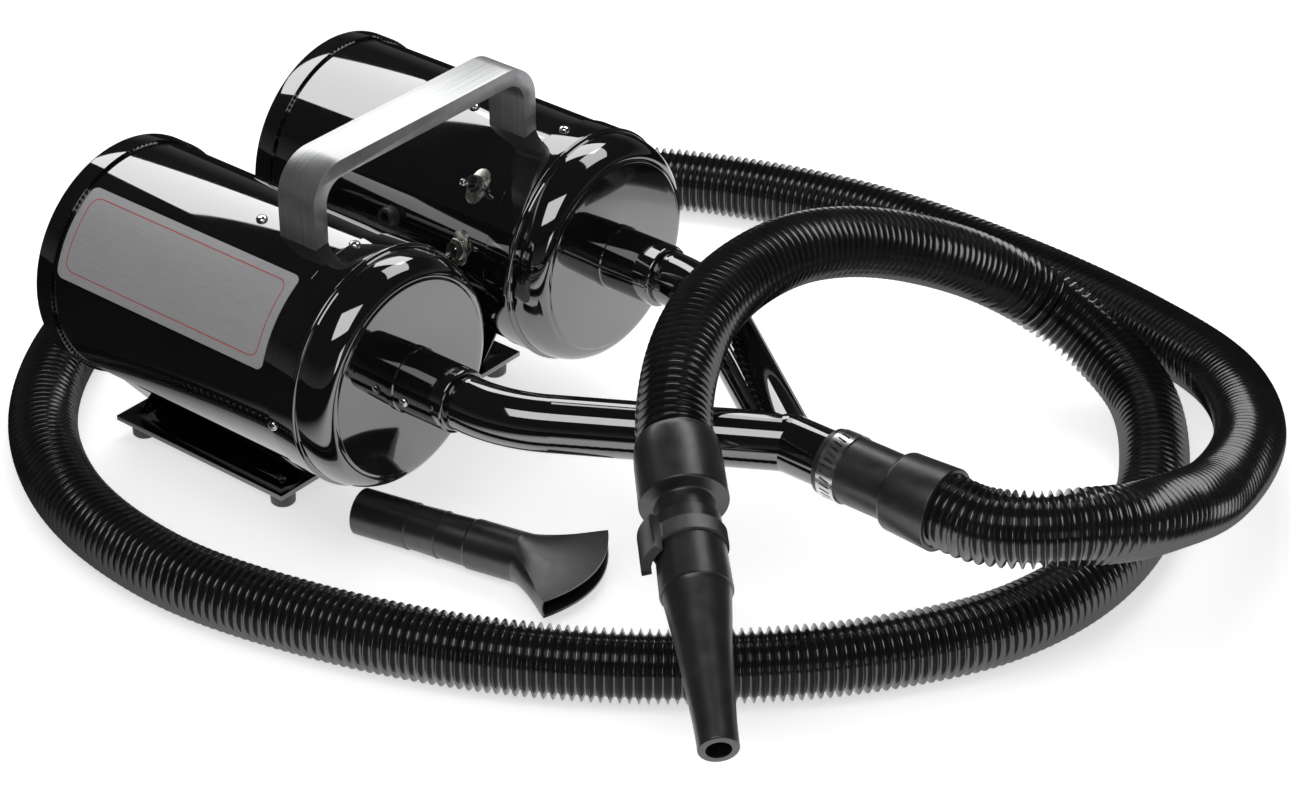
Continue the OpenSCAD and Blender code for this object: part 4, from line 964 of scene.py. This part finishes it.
def mixed(tree, factor, a, b):
    """A colour that turns from a to b as the factor goes from 0 to 1."""
    node = tree.nodes.new("ShaderNodeMix")
    node.data_type = "RGBA"
    plug(tree, factor, node.inputs["Factor"])
    plug(tree, a, node.inputs["A"])
    plug(tree, b, node.inputs["B"])
    return node.outputs["Result"]


def floor_material():
    """White for the camera and in mirrors, where it ends in the dark at the table's edge."""
    material = bpy.data.materials.new("white floor")
    material.use_nodes = True
    tree = material.node_tree
    shader = tree.nodes["Principled BSDF"]
    shader.inputs["Base Color"].default_value = (0.86, 0.86, 0.87, 1)
    shader.inputs["Roughness"].default_value = 0.6
    shader.inputs["Specular IOR Level"].default_value = 0.1
    shader.inputs["Emission Color"].default_value = WHITE
    path = tree.nodes.new("ShaderNodeLightPath")
    seen = maths(tree, "MAXIMUM", path.outputs["Is Camera Ray"], path.outputs["Is Glossy Ray"])
    plug(tree, maths(tree, "MULTIPLY", seen, FLOOR_GLOW), shader.inputs["Emission Strength"])
    table_edge(tree, shader, path)
    return material


def table_edge(tree, shader, path):
    """In mirrors the white table fades into the dark studio between the two distances of TABLE_R."""
    place = tree.nodes.new("ShaderNodeTexCoord")
    distance = tree.nodes.new("ShaderNodeVectorMath")
    distance.operation = "DISTANCE"
    distance.inputs[1].default_value = TABLE_MIDDLE
    tree.links.new(place.outputs["Object"], distance.inputs[0])
    edge = tree.nodes.new("ShaderNodeMapRange")
    edge.interpolation_type = "SMOOTHSTEP"
    edge.inputs["From Min"].default_value, edge.inputs["From Max"].default_value = TABLE_R
    tree.links.new(distance.outputs["Value"], edge.inputs["Value"])
    dark = tree.nodes.new("ShaderNodeBsdfDiffuse")
    dark.inputs["Color"].default_value = STUDIO_DARK
    mix = tree.nodes.new("ShaderNodeMixShader")
    plug(tree, maths(tree, "MULTIPLY", edge.outputs["Result"], path.outputs["Is Glossy Ray"]), mix.inputs[0])
    tree.links.new(shader.outputs[0], mix.inputs[1])
    tree.links.new(dark.outputs[0], mix.inputs[2])
    tree.links.new(mix.outputs[0], tree.nodes["Material Output"].inputs["Surface"])


def make_floor():
    x, y = FLOOR_MIDDLE
    signs = ((-1, -1), (1, -1), (1, 1), (-1, 1))
    corners = [(x + sx * FLOOR_HALF, y + sy * FLOOR_HALF, 0) for sx, sy in signs]
    mesh = bpy.data.meshes.new("floor")
    mesh.from_pydata(corners, [], [(0, 1, 2, 3)])
    mesh.materials.append(floor_material())
    floor = bpy.data.objects.new("floor", mesh)
    scene.collection.objects.link(floor)


def make_world():
    """White for the camera, dark with a lighter horizon in mirrors, and a soft fill for the rest."""
    world = bpy.data.worlds.new("studio")
    scene.world = world
    world.use_nodes = True
    tree = world.node_tree
    path = tree.nodes.new("ShaderNodeLightPath")
    place = tree.nodes.new("ShaderNodeTexCoord")
    split = tree.nodes.new("ShaderNodeSeparateXYZ")
    tree.links.new(place.outputs["Generated"], split.inputs["Vector"])
    ramp = tree.nodes.new("ShaderNodeValToRGB")
    ramp.color_ramp.elements[0].position, ramp.color_ramp.elements[0].color = 0.0, HORIZON
    ramp.color_ramp.elements[1].position, ramp.color_ramp.elements[1].color = 0.3, ZENITH
    tree.links.new(split.outputs["Z"], ramp.inputs["Fac"])
    unseen = mixed(tree, path.outputs["Is Glossy Ray"], FILL, ramp.outputs["Color"])
    background = tree.nodes["Background"]
    plug(tree, mixed(tree, path.outputs["Is Camera Ray"], unseen, WHITE), background.inputs["Color"])
    background.inputs["Strength"].default_value = 1.0


def softbox(name, centre, aim, width, height, watts):
    data = bpy.data.lights.new(name, "AREA")
    data.shape, data.size, data.size_y, data.energy = "RECTANGLE", width, height, watts
    light = bpy.data.objects.new(name, data)
    scene.collection.objects.link(light)
    light.location = centre
    light.rotation_euler = (Vector(aim) - Vector(centre)).to_track_quat("-Z", "Y").to_euler()


make_floor()
make_world()
for name, values in SOFTBOXES.items():
    softbox(name, *values)

scene.view_settings.view_transform = "Standard"
